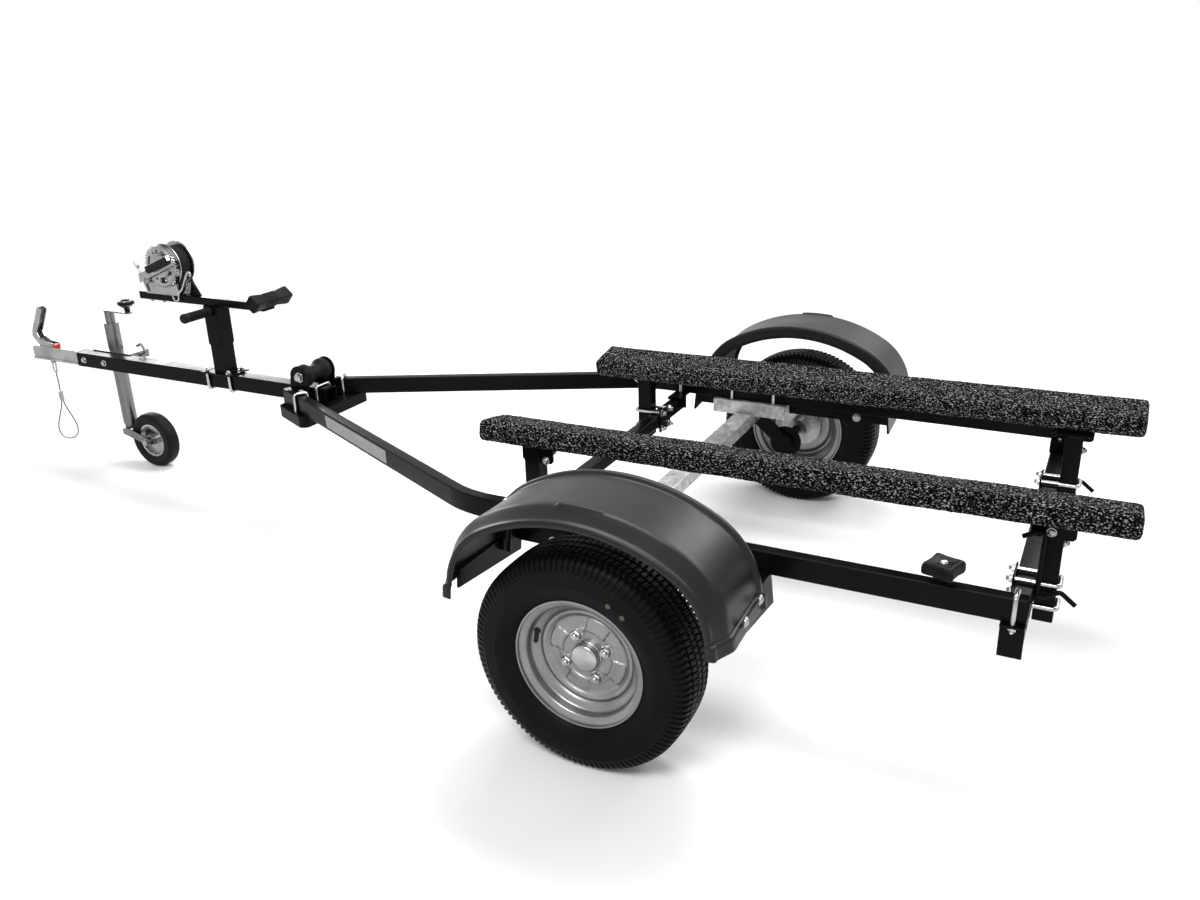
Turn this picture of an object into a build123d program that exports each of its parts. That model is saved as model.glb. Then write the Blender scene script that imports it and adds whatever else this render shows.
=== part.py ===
from build123d import *
import math
import os

# Single-axle boat trailer for a small craft. Millimetres, +X forward to the
# coupling, +Y to the left, +Z up. Stations along X are counted from the axle
# line while the pieces are made; export_node() then moves everything so that
# the origin is the middle of the footprint, on the ground.

# ---- Wheels -----------------------------------------------------------------
wheel_track = 1482          # between the two wheel centre planes
tyre_radius = 242
tyre_width = 145
rim_seat_radius = 127       # 10 inch rim
rim_flange_radius = 144
rim_width = 102             # between the flanges
rim_thickness = 3
disc_offset = 8             # disc face outboard of the wheel centre plane
stud_circle_radius = 50
stud_angle = 64.8           # of the first stud, degrees from +X
stud_count = 4
stud_radius = 6
lug_nut_radius = 10
lug_nut_height = 12
hub_bore_radius = 24        # disc's centre hole
hub_cap_height = 20
hub_cap_depth = 14          # spindle's end behind the disc face
disc_thickness = 4
well_depth = 20             # rim's drop centre below the bead seat
bead_bulge = 4              # tyre stands off the flange's edge by this
hub_radius = 34
hub_length = 62
spindle_radius = 15
running_clearance = 0.05
seat_clearance = 0.3

# ---- Frame ------------------------------------------------------------------
coupling_nose_x = 2683
coupling_head_length = 259  # nose to the front end of the drawbar
drawbar_rear_x = 1282
drawbar_size = 50
tube_wall = 3
rail_top_z = 434
rail_height = 50
rail_width = 30
rail_outer_y = 532
rail_rear_x = -792
rail_bend_x = 431           # where the two straight runs would meet
rail_bend_radius = 280
rail_splay = 25.3           # degrees
rail_front_x = 1412
rear_cross_x = -770
rear_cross_size = 40        # square tube
rear_cross_drop = 32        # crossmember top below the rail's underside
front_cross_x = 317.5
front_cross_size = 35
front_cross_drop = 8
front_cross_half = 484      # ends just inside the rails
post_tube_size = 40         # posts under the bunks
bracket_plate = 4
bracket_width = 44
bracket_overhang = 14       # saddle plate beyond the rail's outer face
bolt_radius = 5             # U-bolts
nut_radius = 8
nut_height = 7
bolt_tail = 6               # thread past the nut
bolt_gap = 1                # between a U-bolt's leg and the tube beside it
bracket_pad = 40            # front saddle's seat on its crossmember

# ---- Axle -------------------------------------------------------------------
axle_beam_x = 104
axle_beam_width = 54
axle_beam_height = 38
axle_beam_top_z = 350
axle_channel_front_x = 204
axle_channel_rear_x = -20
axle_channel_width = 50
axle_channel_wall = 5
axle_channel_skirt = 6      # channel's sides below the beam's top
backplate_radius = 48
backplate_thickness = 8
arm_thickness = 16
arm_end_radius = 26
axle_bolt_xs = (20, 150)    # hook bolts over the rails
hook_drop = 34              # how far their hooks reach down the outer face

# ---- Bunks ------------------------------------------------------------------
bunk_rear_x = -960
bunk_front_x = 490
bunk_centre_y = 308
bunk_width = 122
bunk_thickness = 57
bunk_tilt = 10.5              # degrees, outer edge higher
bunk_top_rear_z = 558       # at its centreline
bunk_top_front_z = 548
bunk_corner_radius = 12
rear_post_y = 275
front_post_y = 327
rear_post_bottom_z = 270
front_post_bottom_z = 300
bunk_bracket_length = 84
front_bracket_shift = 20    # front brackets sit behind their posts' middle
bracket_corner = 10
bunk_bracket_height = 34
bunk_bracket_flange = 44    # width of the strip under the bunk

# ---- Fenders ----------------------------------------------------------------
fender_centre_x = -15
fender_crown_z = 595
fender_inner_y = 612
fender_outer_y = 845
fender_wall = 4
fender_crease = 5           # depth of the groove beside the inner rib
fender_rib = 24             # lip starts this far from either edge
fender_crown_radius = 430
fender_crown_half = 215     # half length of the crown arc along X
fender_shoulder_radius = 180
fender_end_angle = 84       # where the shoulder arc ends, from vertical
fender_skirt = 33           # depth of the outer skirt
fender_inner_skirt = 35
fender_brow = 60            # crown's outer edge inboard of the outer skirt
fender_foot_z = 365
fender_lip = 9              # foot turned outward
stay_thickness = 6
stay_height = 42
stay_root = 26              # arms reach this much lower at the rail
stay_reach = 60             # arms stop this far inside the fender's outer edge
skirt_clearance = 1

# ---- Coupling ---------------------------------------------------------------
ball_socket_radius = 25.3
ball_socket_depth = 34
coupling_width = 58
coupling_lip = 8            # height of the rolled lower edge
coupling_waist = 3          # body narrower than the lip, each side
coupling_shoulder = 9       # bevel along the top edges
coupling_wall = 5
lever_half = 13
lever_wall = 3
# side views of the lever and its channel: behind the nose, above the coupling's top
lever_side = [(123, 0), (45, 0), (17, 34), (23, 56), (77, 144), (95, 136), (43, 48), (51, 30),
              (83, 16), (123, 14)]
lever_channel = [(131, 3), (49, 3), (21, 34), (27, 56), (83, 154), (133, 154)]
coupling_tail_length = 180
coupling_bottom_z = 390
coupling_top_z = 436
coupling_bolt_setbacks = (138, 35)   # behind the drawbar's front end
coupling_bolt_z = 410

# ---- Jockey wheel -----------------------------------------------------------
jockey_setback = 82         # behind the drawbar's front end
jockey_y = -76
jockey_trail = 119
jockey_wheel_radius = 100
jockey_wheel_width = 50
jockey_tube_radius = 24.5
jockey_tube_wall = 3
clamp_wall = 6
clamp_plate_rear = 138      # top plate's reach from the jockey tube
clamp_plate_front = 48
clamp_plate_lap = 6         # how far it lies over the drawbar
clamp_plate_flange = 22     # turned down at its rear end
clamp_handle_radius = 4
jockey_tube_top_z = 528
cap_thickness = 6
boss_height = 40
boss_radius = 16
crank_reach = 98
jockey_leg_length = 230
fork_crown_front = 8
fork_crown_rear = 17
jockey_seat_radius = 62
jockey_tube_bottom_z = 150
jockey_leg_drop = 14         # leg below the tube at rest
fork_plate = 4
fork_gap = 5                # fork to wheel, each side
jockey_leg_clearance = 0.08
jockey_axle_radius = 8

# ---- Winch post, arm and winch ---------------------------------------------
post_x = 1722
post_size = 50
foot_thickness = 5
foot_half_length = 68
foot_shift = 8              # foot's middle ahead of the post
foot_bolt_offset = 48
post_sleeve_size = 56
post_sleeve_bottom_z = 532
arm_bottom_z = 660
arm_height = 25
arm_width = 50
arm_front_x = 2040
arm_rear_x = 1492
winch_x = 1888
winch_axis_z = 780
winch_drum_radius = 70
winch_drum_width = 56
winch_gear_radius = 66      # pitch radius
drum_core_radius = 22
strap_coil_radius = 58
flange_thickness = 3
drum_gap = 5                # flange to side plate
frame_plate = 3
frame_rear = 50             # base plate behind the drum's axis
frame_front = 100
frame_rise = 22             # side plates above the drum's axis
# side plates' upper corners: ahead of the drum's axis, above the arm
frame_front_corner = (90, 60)
frame_rear_corner = (-44, 40)
frame_top_half = 20
gear_gap = 5                # side plate to gear
crank_gap = 8               # gear to crank arm
shaft_end = 14              # shafts past the drum's far flange
crank_length = 140
crank_rise = 56
crank_thickness = 5
crank_grip_radius = 10
crank_grip_length = 104     # folded flat along the crank
crank_grip_lift = 13        # above the crank's middle
winch_gear_width = 7
gusset_reach = 62           # foot of the gusset behind the drum's axis
gusset_length = 46
gusset_height = 46
gusset_thickness = 8
winch_teeth = 44
pinion_teeth = 12
pinion_reach = 74           # ahead of the drum's axis
winch_shaft_radius = 8
bow_block_x = 1487
bow_block_z = 694
bow_block_length = 152
bow_block_size = 42         # square section at the ends
bow_block_waist = 32
bow_block_turn = 50         # degrees about its length
grip_z = 643
grip_radius = 15.5
grip_end_y = 140

# ---- Knobs and hook rods ----------------------------------------------------
knob_x = -638
knob_radius = 21
knob_height = 26
knob_stem = 14
hook_rod_radius = 5
hook_rod_bend = 9
hook_rod_top_z = 482
hook_rod_bottom_z = 328
hook_rod_tip = (40, 22)     # upper hook's end ahead of the rod and below its top
hook_rod_crest = (42, 24)   # lower hook's crest behind the rod and above its bottom
hook_rod_tail = 72          # lower hook's end behind the rod

# ---- Safety wire --------------------------------------------------------------
wire_radius = 2
wire_eye_x = 85             # behind the coupling's nose
link_length = 46
link_width = 20
lead_length = 72
ferrule_length = 36
ferrule_width = 15
ferrule_depth = 8
loop_length = 150
loop_width = 68
loop_turn = 35              # degrees about the ferrule, so the loop hangs clear of the ball

# ---- Keel roller ------------------------------------------------------------
roller_x = 1348
roller_z = 475
roller_radius = 35
roller_waist = 23
roller_length = 104
cheek_gap = 4               # roller end to cheek
plate_rear_x = 1262
plate_front_x = 1425
plate_rear_half = 161
plate_front_half = 84
plate_depth = 34
plate_wall = 5
plate_corner = 20
cradle_foot_half = 30
cradle_front = 42
cradle_foot_width = 34
cradle_ear_radius = 36
junction_bolt_x = 1315
roller_pin_radius = 8
cheek_thickness = 5

# ---- Derived ----------------------------------------------------------------
mid_x = (coupling_nose_x + bunk_rear_x) / 2
wheel_y = wheel_track / 2
rail_bottom_z = rail_top_z - rail_height
rail_y = rail_outer_y - rail_width / 2
rail_mid_z = rail_top_z - rail_height / 2
drawbar_mid_z = rail_top_z - drawbar_size / 2
drawbar_front_x = coupling_nose_x - coupling_head_length
jockey_x = drawbar_front_x - jockey_setback
pinion_x = winch_x + pinion_reach

nodes = {}


def add(name, *solids):
    """Keep the solids of one named piece."""
    nodes.setdefault(name, []).extend(solids)


def span_box(x0, x1, y0, y1, z0, z1):
    """A block between two corners."""
    middle = Pos((x0 + x1) / 2, (y0 + y1) / 2, (z0 + z1) / 2)
    return middle * Box(abs(x1 - x0), abs(y1 - y0), abs(z1 - z0))


def rod_x(radius, x0, x1, y, z):
    return Pos((x0 + x1) / 2, y, z) * Rot(0, 90, 0) * Cylinder(radius, abs(x1 - x0))


def rod_y(radius, y0, y1, x, z):
    return Pos(x, (y0 + y1) / 2, z) * Rot(90, 0, 0) * Cylinder(radius, abs(y1 - y0))


def rod_z(radius, z0, z1, x, y):
    return Pos(x, y, (z0 + z1) / 2) * Cylinder(radius, abs(z1 - z0))


def mirrored(shape):
    """The same shape on the right-hand side."""
    return shape.mirror(Plane.XZ)


def both_sides(name, shape):
    """One piece on each side, as two nodes."""
    add(name + "_left", shape)
    add(name + "_right", mirrored(shape))


def ring_y(points, x, y, z):
    """Turn a (radius, y) outline about an axis along Y at x, z."""
    outline = make_face(Polyline(*[(r, along, 0) for r, along in points], close=True))
    return Pos(x, y, z) * revolve(outline, Axis.Y)


def hollow_tube(length, width, height, wall):
    """Open box tube along X, centred."""
    core = Box(length + 2, width - 2 * wall, height - 2 * wall)
    return Box(length, width, height) - core


def bent_rod(points, radius, bend):
    """Round bar through points with equal bend radii."""
    path = FilletPolyline(*points, radius=bend)
    start = path @ 0
    section = Plane(origin=start, z_dir=path % 0) * Circle(radius)
    return sweep(section, path=path)


def side_plate(points, y0, y1):
    """Plate with an outline in X and Z, between two Y faces."""
    outline = make_face(Polyline(*[(x, 0, z) for x, z in points], close=True))
    return Pos(0, y0, 0) * extrude(outline, y1 - y0, dir=(0, 1, 0))


# ---- Rails and drawbar --------------------------------------------------------
def rail():
    """Rail tube: a straight run beside the wheel, then splayed in to the drawbar."""
    slope = math.tan(math.radians(rail_splay))
    front_y = rail_y - slope * (rail_front_x - rail_bend_x)
    path = FilletPolyline(
        (rail_rear_x, rail_y, rail_mid_z),
        (rail_bend_x, rail_y, rail_mid_z),
        (rail_front_x, front_y, rail_mid_z),
        radius=rail_bend_radius,
    )
    plane = Plane(origin=path @ 0, x_dir=(0, 1, 0), z_dir=(1, 0, 0))
    skin = Rectangle(rail_width, rail_height)
    core = Rectangle(rail_width - 2 * tube_wall, rail_height - 2 * tube_wall)
    return sweep(plane * (skin - core), path=path)


def drawbar():
    length = drawbar_front_x - drawbar_rear_x
    tube = hollow_tube(length, drawbar_size, drawbar_size, tube_wall)
    return Pos((drawbar_front_x + drawbar_rear_x) / 2, 0, drawbar_mid_z) * tube


both_sides("rail", rail())
add("drawbar", drawbar())


# ---- U-bolts ------------------------------------------------------------------
def u_bolt(gap, clamped, hook=None):
    """Bolt over a tube of width gap along Y, its legs down; hook shortens one leg."""
    reach = gap / 2 + bolt_radius
    leg = clamped + nut_height + bolt_tail
    far_leg = leg if hook is None else hook
    path = Polyline((0, -reach, -leg), (0, -reach, bolt_radius), (0, reach, bolt_radius),
                    (0, reach, -far_leg))
    section = Plane(origin=path @ 0, z_dir=(0, 0, 1)) * Circle(bolt_radius)
    shape = sweep(section, path=path, transition=Transition.RIGHT)
    for side in (-1, 1) if hook is None else (-1,):
        nut = extrude(RegularPolygon(nut_radius, 6), nut_height)
        shape += Pos(0, side * reach, -clamped - nut_height) * nut
    return shape


def fastened(plate, place, gap, clamped, hook=None, pair=True):
    """Keep a U-bolt, and its twin on the right, and return the plate drilled for its legs."""
    bolt = place * u_bolt(gap, clamped, hook)
    add("u_bolts", bolt)
    if pair:
        add("u_bolts", mirrored(bolt))
    for side in (-1, 1):
        plate -= place * rod_z(bolt_radius + seat_clearance, -clamped - 1, 1,
                               0, side * (gap / 2 + bolt_radius))
    return plate


# ---- Crossmembers and their end brackets --------------------------------------
# end of the frame, station, tube size, drop under the rails, half length
crossmembers = (
    ("rear", rear_cross_x, rear_cross_size, rear_cross_drop, rail_outer_y - bracket_plate),
    ("front", front_cross_x, front_cross_size, front_cross_drop, front_cross_half),
)


def end_bracket(x, size, drop, half):
    """Saddle plate on the rail, with an end plate and a web that hold the crossmember."""
    x0, x1 = x - bracket_width / 2, x + bracket_width / 2
    inner = rail_outer_y - rail_width - bracket_overhang - bolt_radius
    cross_top = rail_bottom_z - drop
    web_end = inner + bracket_plate
    if half < web_end:
        inner, web_end = half - bracket_pad, half
    saddle = span_box(x0, x1, inner, rail_outer_y + bracket_overhang,
                      rail_bottom_z - bracket_plate, rail_bottom_z)
    end_plate = span_box(x0, x1, half, half + bracket_plate, cross_top - size, rail_bottom_z)
    web = span_box(x0, x1, inner, web_end, cross_top, rail_bottom_z)
    notch_half = nut_radius + 2 * bolt_gap
    notch = span_box(x - notch_half, x + notch_half, rail_outer_y - 2 * bracket_plate,
                     rail_outer_y + bracket_plate,
                     rail_bottom_z - bracket_plate - nut_height - bolt_tail - bolt_gap,
                     rail_bottom_z - bracket_plate)
    plate = saddle + (end_plate - notch) + web
    return fastened(plate, Pos(x, rail_y, rail_top_z), rail_width, rail_height + bracket_plate)


for name, x, size, drop, half in crossmembers:
    top = rail_bottom_z - drop
    add(name + "_crossmember",
        span_box(x - size / 2, x + size / 2, -half, half, top - size, top))
    bracket = end_bracket(x, size, drop, half)
    add(name + "_crossmember_brackets", bracket, mirrored(bracket))


# ---- Axle -----------------------------------------------------------------------
axle_beam_bottom_z = axle_beam_top_z - axle_beam_height
arm_pivot_z = axle_beam_top_z - axle_beam_height / 2
arm_inner_y = rail_outer_y + stay_thickness + arm_thickness


def axle_beam():
    """Torsion beam under both rails."""
    half = axle_beam_width / 2
    return span_box(axle_beam_x - half, axle_beam_x + half, -arm_inner_y, arm_inner_y,
                    axle_beam_bottom_z, axle_beam_top_z)


def axle_channel():
    """Inverted channel between the beam and a rail, notched over the beam, hook bolted."""
    y0 = rail_outer_y - axle_channel_width
    y1 = rail_outer_y
    low = axle_beam_top_z - axle_channel_skirt
    outer = span_box(axle_channel_rear_x, axle_channel_front_x, y0, y1, low, rail_bottom_z)
    core = span_box(axle_channel_rear_x - 1, axle_channel_front_x + 1,
                    y0 + axle_channel_wall, y1 - axle_channel_wall,
                    low - 1, rail_bottom_z - axle_channel_wall)
    half = axle_beam_width / 2
    notch = span_box(axle_beam_x - half, axle_beam_x + half, y0 - 1, y1 + 1,
                     low - 1, axle_beam_top_z)
    foot = span_box(axle_beam_x - half, axle_beam_x + half, y0 + axle_channel_wall,
                    y1 - axle_channel_wall, axle_beam_top_z, rail_bottom_z - axle_channel_wall)
    channel = outer - core - notch + foot
    for x in axle_bolt_xs:
        channel = fastened(channel, Pos(x, rail_y, rail_top_z), rail_width,
                           rail_height + axle_channel_wall, hook=hook_drop)
    return channel


def swing_arm():
    """Arm from the beam's end down and back to the hub, with its spindle."""
    y0 = arm_inner_y
    y1 = y0 + arm_thickness
    fall = arm_pivot_z - tyre_radius
    reach = math.hypot(axle_beam_x, fall)
    angle = math.degrees(math.atan2(fall, axle_beam_x))
    bar = Pos(axle_beam_x / 2, (y0 + y1) / 2, (arm_pivot_z + tyre_radius) / 2) * Rot(0, -angle, 0)
    plate = bar * Box(reach, arm_thickness, 1.6 * arm_end_radius)
    plate += rod_y(arm_end_radius, y0, y1, 0, tyre_radius)
    plate += rod_y(arm_end_radius, y0, y1, axle_beam_x, arm_pivot_z)
    plate += rod_y(backplate_radius, y1, y1 + backplate_thickness, 0, tyre_radius)
    return plate + rod_y(spindle_radius, y1, wheel_y + disc_offset - hub_cap_depth,
                         0, tyre_radius)


add("axle_beam", axle_beam())
channel = axle_channel()
add("axle_channels", channel, mirrored(channel))
arm = swing_arm()
add("swing_arms", arm, mirrored(arm))


# ---- Wheels ---------------------------------------------------------------------
def tyre():
    half = tyre_width / 2
    seat = rim_seat_radius + seat_clearance
    inside = rim_width / 2 - seat_clearance
    over = rim_flange_radius + bead_bulge
    side = [
        (seat, inside - rim_thickness), (rim_flange_radius, inside), (over - 2, inside),
        (over + 4, inside + rim_thickness + 4), (tyre_radius * 0.74, half - 3),
        (tyre_radius * 0.81, half), (tyre_radius * 0.90, half - 5),
        (tyre_radius * 0.965, half - 14), (tyre_radius - 2.5, half - 24),
        (tyre_radius, half * 0.35),
    ]
    outline = side + [(r, -y) for r, y in reversed(side)]
    return ring_y(outline, 0, wheel_y, tyre_radius)


def stud_places():
    """X and Z of the four studs."""
    for k in range(stud_count):
        angle = math.radians(stud_angle + 360 / stud_count * k)
        yield (stud_circle_radius * math.cos(angle),
               tyre_radius + stud_circle_radius * math.sin(angle))


def rim():
    """Barrel with a drop centre, two flanges and a pierced disc."""
    t = rim_thickness
    w = rim_width / 2
    seat = rim_seat_radius
    well = seat - well_depth
    barrel = [
        (rim_flange_radius, -w - t), (rim_flange_radius, -w), (seat, -w + t),
        (seat, -w + 20), (well, -w + 34), (well, w - 44), (seat, w - 26),
        (seat, w - t), (rim_flange_radius, w), (rim_flange_radius, w + t),
        (seat - t, w + t), (seat - t, w - 28), (well - t, w - 46),
        (well - t, -w + 36), (seat - t, -w + 22), (seat - t, -w - t),
    ]
    face = disc_offset
    disc = [
        (hub_bore_radius, face - disc_thickness), (hub_bore_radius, face), (68, face),
        (80, face + 5), (92, face + 5), (well - t, face - 14), (well - t, face - 20),
        (92, face + 1), (80, face + 1), (68, face - disc_thickness),
    ]
    wheel = ring_y(barrel, 0, wheel_y, tyre_radius) + ring_y(disc, 0, wheel_y, tyre_radius)
    for x, z in stud_places():
        wheel -= rod_y(stud_radius + seat_clearance, wheel_y, wheel_y + 20, x, z)
    return wheel


def hub():
    """Hub barrel on the spindle, stud flange behind the disc, nuts and cap."""
    back = wheel_y + disc_offset - disc_thickness
    y0 = back - hub_length
    body = rod_y(hub_radius, y0, back, 0, tyre_radius)
    body += rod_y(stud_circle_radius + 14, back - 10, back, 0, tyre_radius)
    body += rod_y(hub_bore_radius - seat_clearance, back, back + hub_cap_height, 0, tyre_radius)
    for x, z in stud_places():
        body += rod_y(stud_radius, back, back + hub_cap_height + 2, x, z)
        nut = extrude(RegularPolygon(lug_nut_radius, 6), lug_nut_height)
        body += Pos(x, back + disc_thickness, z) * Rot(-90, 0, 0) * nut
    bore = rod_y(spindle_radius + running_clearance, y0 - 1,
                 wheel_y + disc_offset - hub_cap_depth + 4, 0, tyre_radius)
    return body - bore


both_sides("tyre", tyre())
both_sides("rim", rim())
both_sides("hub", hub())


# ---- Bunks and their posts --------------------------------------------------------
bunk_slope = (bunk_top_rear_z - bunk_top_front_z) / (bunk_front_x - bunk_rear_x)
bunk_lean = math.radians(bunk_tilt)


def bunk_place(x):
    """Middle of the bunk's top face at station x, leaning and falling with it."""
    top = bunk_top_rear_z - bunk_slope * (x - bunk_rear_x)
    fall = math.degrees(math.atan(bunk_slope * math.cos(bunk_lean)))
    return Pos(x, bunk_centre_y, top) * Rot(bunk_tilt, fall, 0)


def bunk():
    """Carpeted board: a rounded bar that leans inward, with upright ends."""
    length = bunk_front_x - bunk_rear_x
    bar = Box(1.1 * length, bunk_width, bunk_thickness)
    bar = fillet(bar.edges().filter_by(Axis.X), bunk_corner_radius)
    middle = (bunk_front_x + bunk_rear_x) / 2
    board = bunk_place(middle) * Pos(0, 0, -bunk_thickness / 2) * bar
    return board & span_box(bunk_rear_x, bunk_front_x, 0, rail_outer_y, 0, 2 * bunk_top_rear_z)


def bunk_underside(x, y):
    """Height of the bunk's lower face above a point."""
    drop = bunk_thickness / math.cos(bunk_lean)
    top = bunk_top_rear_z - bunk_slope * (x - bunk_rear_x)
    return top - drop + (y - bunk_centre_y) * math.tan(bunk_lean)


def bunk_post(x, y, bottom_z):
    """Square post whose top stops under the strip that carries the bunk."""
    half = post_tube_size / 2
    top = bunk_underside(x + half, y - half) - 1.5 * bracket_plate
    return span_box(x - half, x + half, y - half, y + half, bottom_z, top)


def bunk_bracket(x, y):
    """Angle with its strip under the bunk and its leg bolted to the post's outer side."""
    half = post_tube_size / 2
    y0 = y + half
    fall = bunk_slope * bunk_bracket_length / 2 + seat_clearance / 2
    top = bunk_underside(x, y0) - bracket_plate / 2 - fall
    strip = (Pos(x, y, bunk_underside(x, y) - fall) * Rot(bunk_tilt, 0, 0)
             * Pos(0, 0, -bracket_plate / 2)
             * Box(bunk_bracket_length, bunk_bracket_flange, bracket_plate))
    leg = span_box(x - bunk_bracket_length / 2, x + bunk_bracket_length / 2,
                   y0, y0 + bracket_plate, top - bunk_bracket_height, top)
    leg = fillet(leg.edges().filter_by(Axis.Y).group_by(Axis.Z)[0], bracket_corner)
    head = rod_y(bolt_radius + 4, y0 + bracket_plate, y0 + bracket_plate + 5,
                 x, top - bunk_bracket_height / 2)
    return strip + leg + head


def post_clamp(x, y, toward, size, cross_top):
    """Plate and two U-bolts that hold a post to the far side of its crossmember."""
    half = post_tube_size / 2
    plate_half = half + 2 * bolt_radius + nut_radius
    x_face = x + toward * (half + size)
    height_low = cross_top - size - bolt_gap - bolt_radius
    height_high = cross_top + bolt_gap + bolt_radius
    plate = span_box(x_face, x_face + toward * bracket_plate, y - plate_half, y + plate_half,
                     height_low - nut_radius - 2, height_high + nut_radius + 2)
    for z in (height_low, height_high):
        place = Pos(x - toward * half, y, z) * Rot(0, -90 * toward, 0)
        plate = fastened(plate, place, post_tube_size, post_tube_size + size + bracket_plate)
    return plate


both_sides("bunk", bunk())
# post Y, post bottom, direction from the post to its crossmember, bracket's shift
posts = ((rear_post_y, rear_post_bottom_z, 1, 0),
         (front_post_y, front_post_bottom_z, -1, front_bracket_shift))
for (name, cross_x, size, drop, _), (y, bottom_z, toward, shift) in zip(crossmembers, posts):
    x = cross_x - toward * (post_tube_size + size) / 2
    clamp = post_clamp(x, y, toward, size, rail_bottom_z - drop)
    for piece, shape in (("_posts", bunk_post(x, y, bottom_z)), ("_post_clamps", clamp)):
        add(name + piece, shape, mirrored(shape))
    both_sides("bunk_brackets", bunk_bracket(x - shift, y))


# ---- Fenders ------------------------------------------------------------------------
end_turn = math.radians(fender_end_angle)


def fender_marks():
    """Points of the side view: crown end, shoulder middle, shoulder end and foot."""
    lift = fender_crown_z - fender_crown_radius
    lean = math.asin(fender_crown_half / fender_crown_radius)
    reach = fender_crown_radius - fender_shoulder_radius
    cx, cz = reach * math.sin(lean), lift + reach * math.cos(lean)

    def on_shoulder(angle):
        return (cx + fender_shoulder_radius * math.sin(angle),
                cz + fender_shoulder_radius * math.cos(angle))

    end = on_shoulder(end_turn)
    foot = (end[0] + (end[1] - fender_foot_z) / math.tan(end_turn), fender_foot_z)
    return on_shoulder(lean), on_shoulder((lean + end_turn) / 2), end, foot


def fender_path():
    """Side view of the crown: a flat arc, two shoulder arcs and two short legs."""
    crown, middle, end, foot = fender_marks()

    def at(point, side):
        return (fender_centre_x + side * point[0], 0, point[1])

    top = (0, fender_crown_z)
    return Wire([
        Line(at(foot, 1), at(end, 1)),
        ThreePointArc(at(end, 1), at(middle, 1), at(crown, 1)),
        ThreePointArc(at(crown, 1), at(top, 1), at(crown, -1)),
        ThreePointArc(at(crown, -1), at(middle, -1), at(end, -1)),
        Line(at(end, -1), at(foot, -1)),
    ])


def fender_section():
    """Cross-section in (y, outward): inner skirt, rib and groove, crown and outer skirt."""
    t, brow = fender_wall, fender_brow
    y0, y1 = fender_inner_y, fender_outer_y
    skin = [
        (y0, -fender_inner_skirt), (y0, -2), (y0 + 4, 1), (y0 + 18, 1), (y0 + 24, -5),
        (y1 - brow, 0), (y1 - 26, -1), (y1 - 10, -8), (y1 - 3, -20),
        (y1 - 3, -fender_skirt + 5), (y1, -fender_skirt + 5), (y1, -fender_skirt),
    ]
    inner = [
        (y1 - 3 - t, -fender_skirt), (y1 - 3 - t, -21), (y1 - 13, -11), (y1 - 28, -1 - t),
        (y1 - brow, -t), (y0 + 23, -5 - t), (y0 + 16, 1 - t), (y0 + 6, 1 - t), (y0 + t, -t),
        (y0 + t, -fender_inner_skirt),
    ]
    return skin + inner


def stay_outline(side, spare):
    """Side view of a stay's arm, flat against the inside of a fender leg."""
    foot_x, foot_z = fender_marks()[3]
    z0, z1 = stay_bottom_z - stay_root, stay_bottom_z + stay_height

    def leg_inside(z, depth):
        return (fender_centre_x
                + side * (foot_x + (foot_z - z) / math.tan(end_turn) - depth / math.sin(end_turn)))

    skin = fender_wall + fender_crease
    far = skin + stay_thickness + spare
    return [(leg_inside(z0 - spare, skin), z0 - spare), (leg_inside(z1 + spare, skin), z1 + spare),
            (leg_inside(z1 + spare, far), z1 + spare), (leg_inside(z0 - spare, far), z0 - spare)]


def fender():
    path = fender_path()
    tangent = path % 0
    plane = Plane(origin=path @ 0, x_dir=(0, 1, 0), z_dir=tangent)
    sign = 1 if plane.y_dir.X > 0 else -1
    points = [(y, sign * out) for y, out in fender_section()]
    shape = sweep(plane * make_face(Polyline(*points, close=True)), path=path)
    foot_x = fender_marks()[3][0]
    for side in (-1, 1):
        leg_x = fender_centre_x + side * foot_x
        lip = span_box(leg_x - side * fender_wall, leg_x + side * fender_lip,
                       fender_inner_y + fender_rib, fender_outer_y - fender_rib,
                       fender_foot_z, fender_foot_z + fender_wall)
        notch = side_plate(stay_outline(side, skirt_clearance),
                           fender_inner_y - 1, fender_inner_y + fender_wall + 1)
        shape = shape + lip - notch
    return shape


def fender_stay():
    """Bar along the rail's outer face with an arm out inside each end of the fender."""
    y0 = rail_outer_y
    y1 = y0 + stay_thickness
    reach = fender_outer_y - stay_reach
    rear, front = stay_outline(-1, 0), stay_outline(1, 0)
    bar = span_box(max(x for x, z in rear) - stay_thickness,
                   min(x for x, z in front) + stay_thickness, y0, y1,
                   stay_bottom_z, stay_bottom_z + stay_height)
    taper = make_face(Polyline((0, y0, stay_bottom_z - stay_root), (0, reach, stay_bottom_z),
                               (0, reach + 1, stay_bottom_z), (0, reach + 1, 0), (0, y0, 0),
                               close=True))
    below = Pos(2 * fender_centre_x - bunk_front_x, 0, 0) * extrude(
        taper, 2 * bunk_front_x, dir=(1, 0, 0))
    arms = side_plate(rear, y0, reach) + side_plate(front, y0, reach)
    return bar + (arms - below)


stay_bottom_z = axle_beam_top_z
both_sides("fender", fender())
stay = fender_stay()
add("fender_stays", stay, mirrored(stay))


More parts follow.
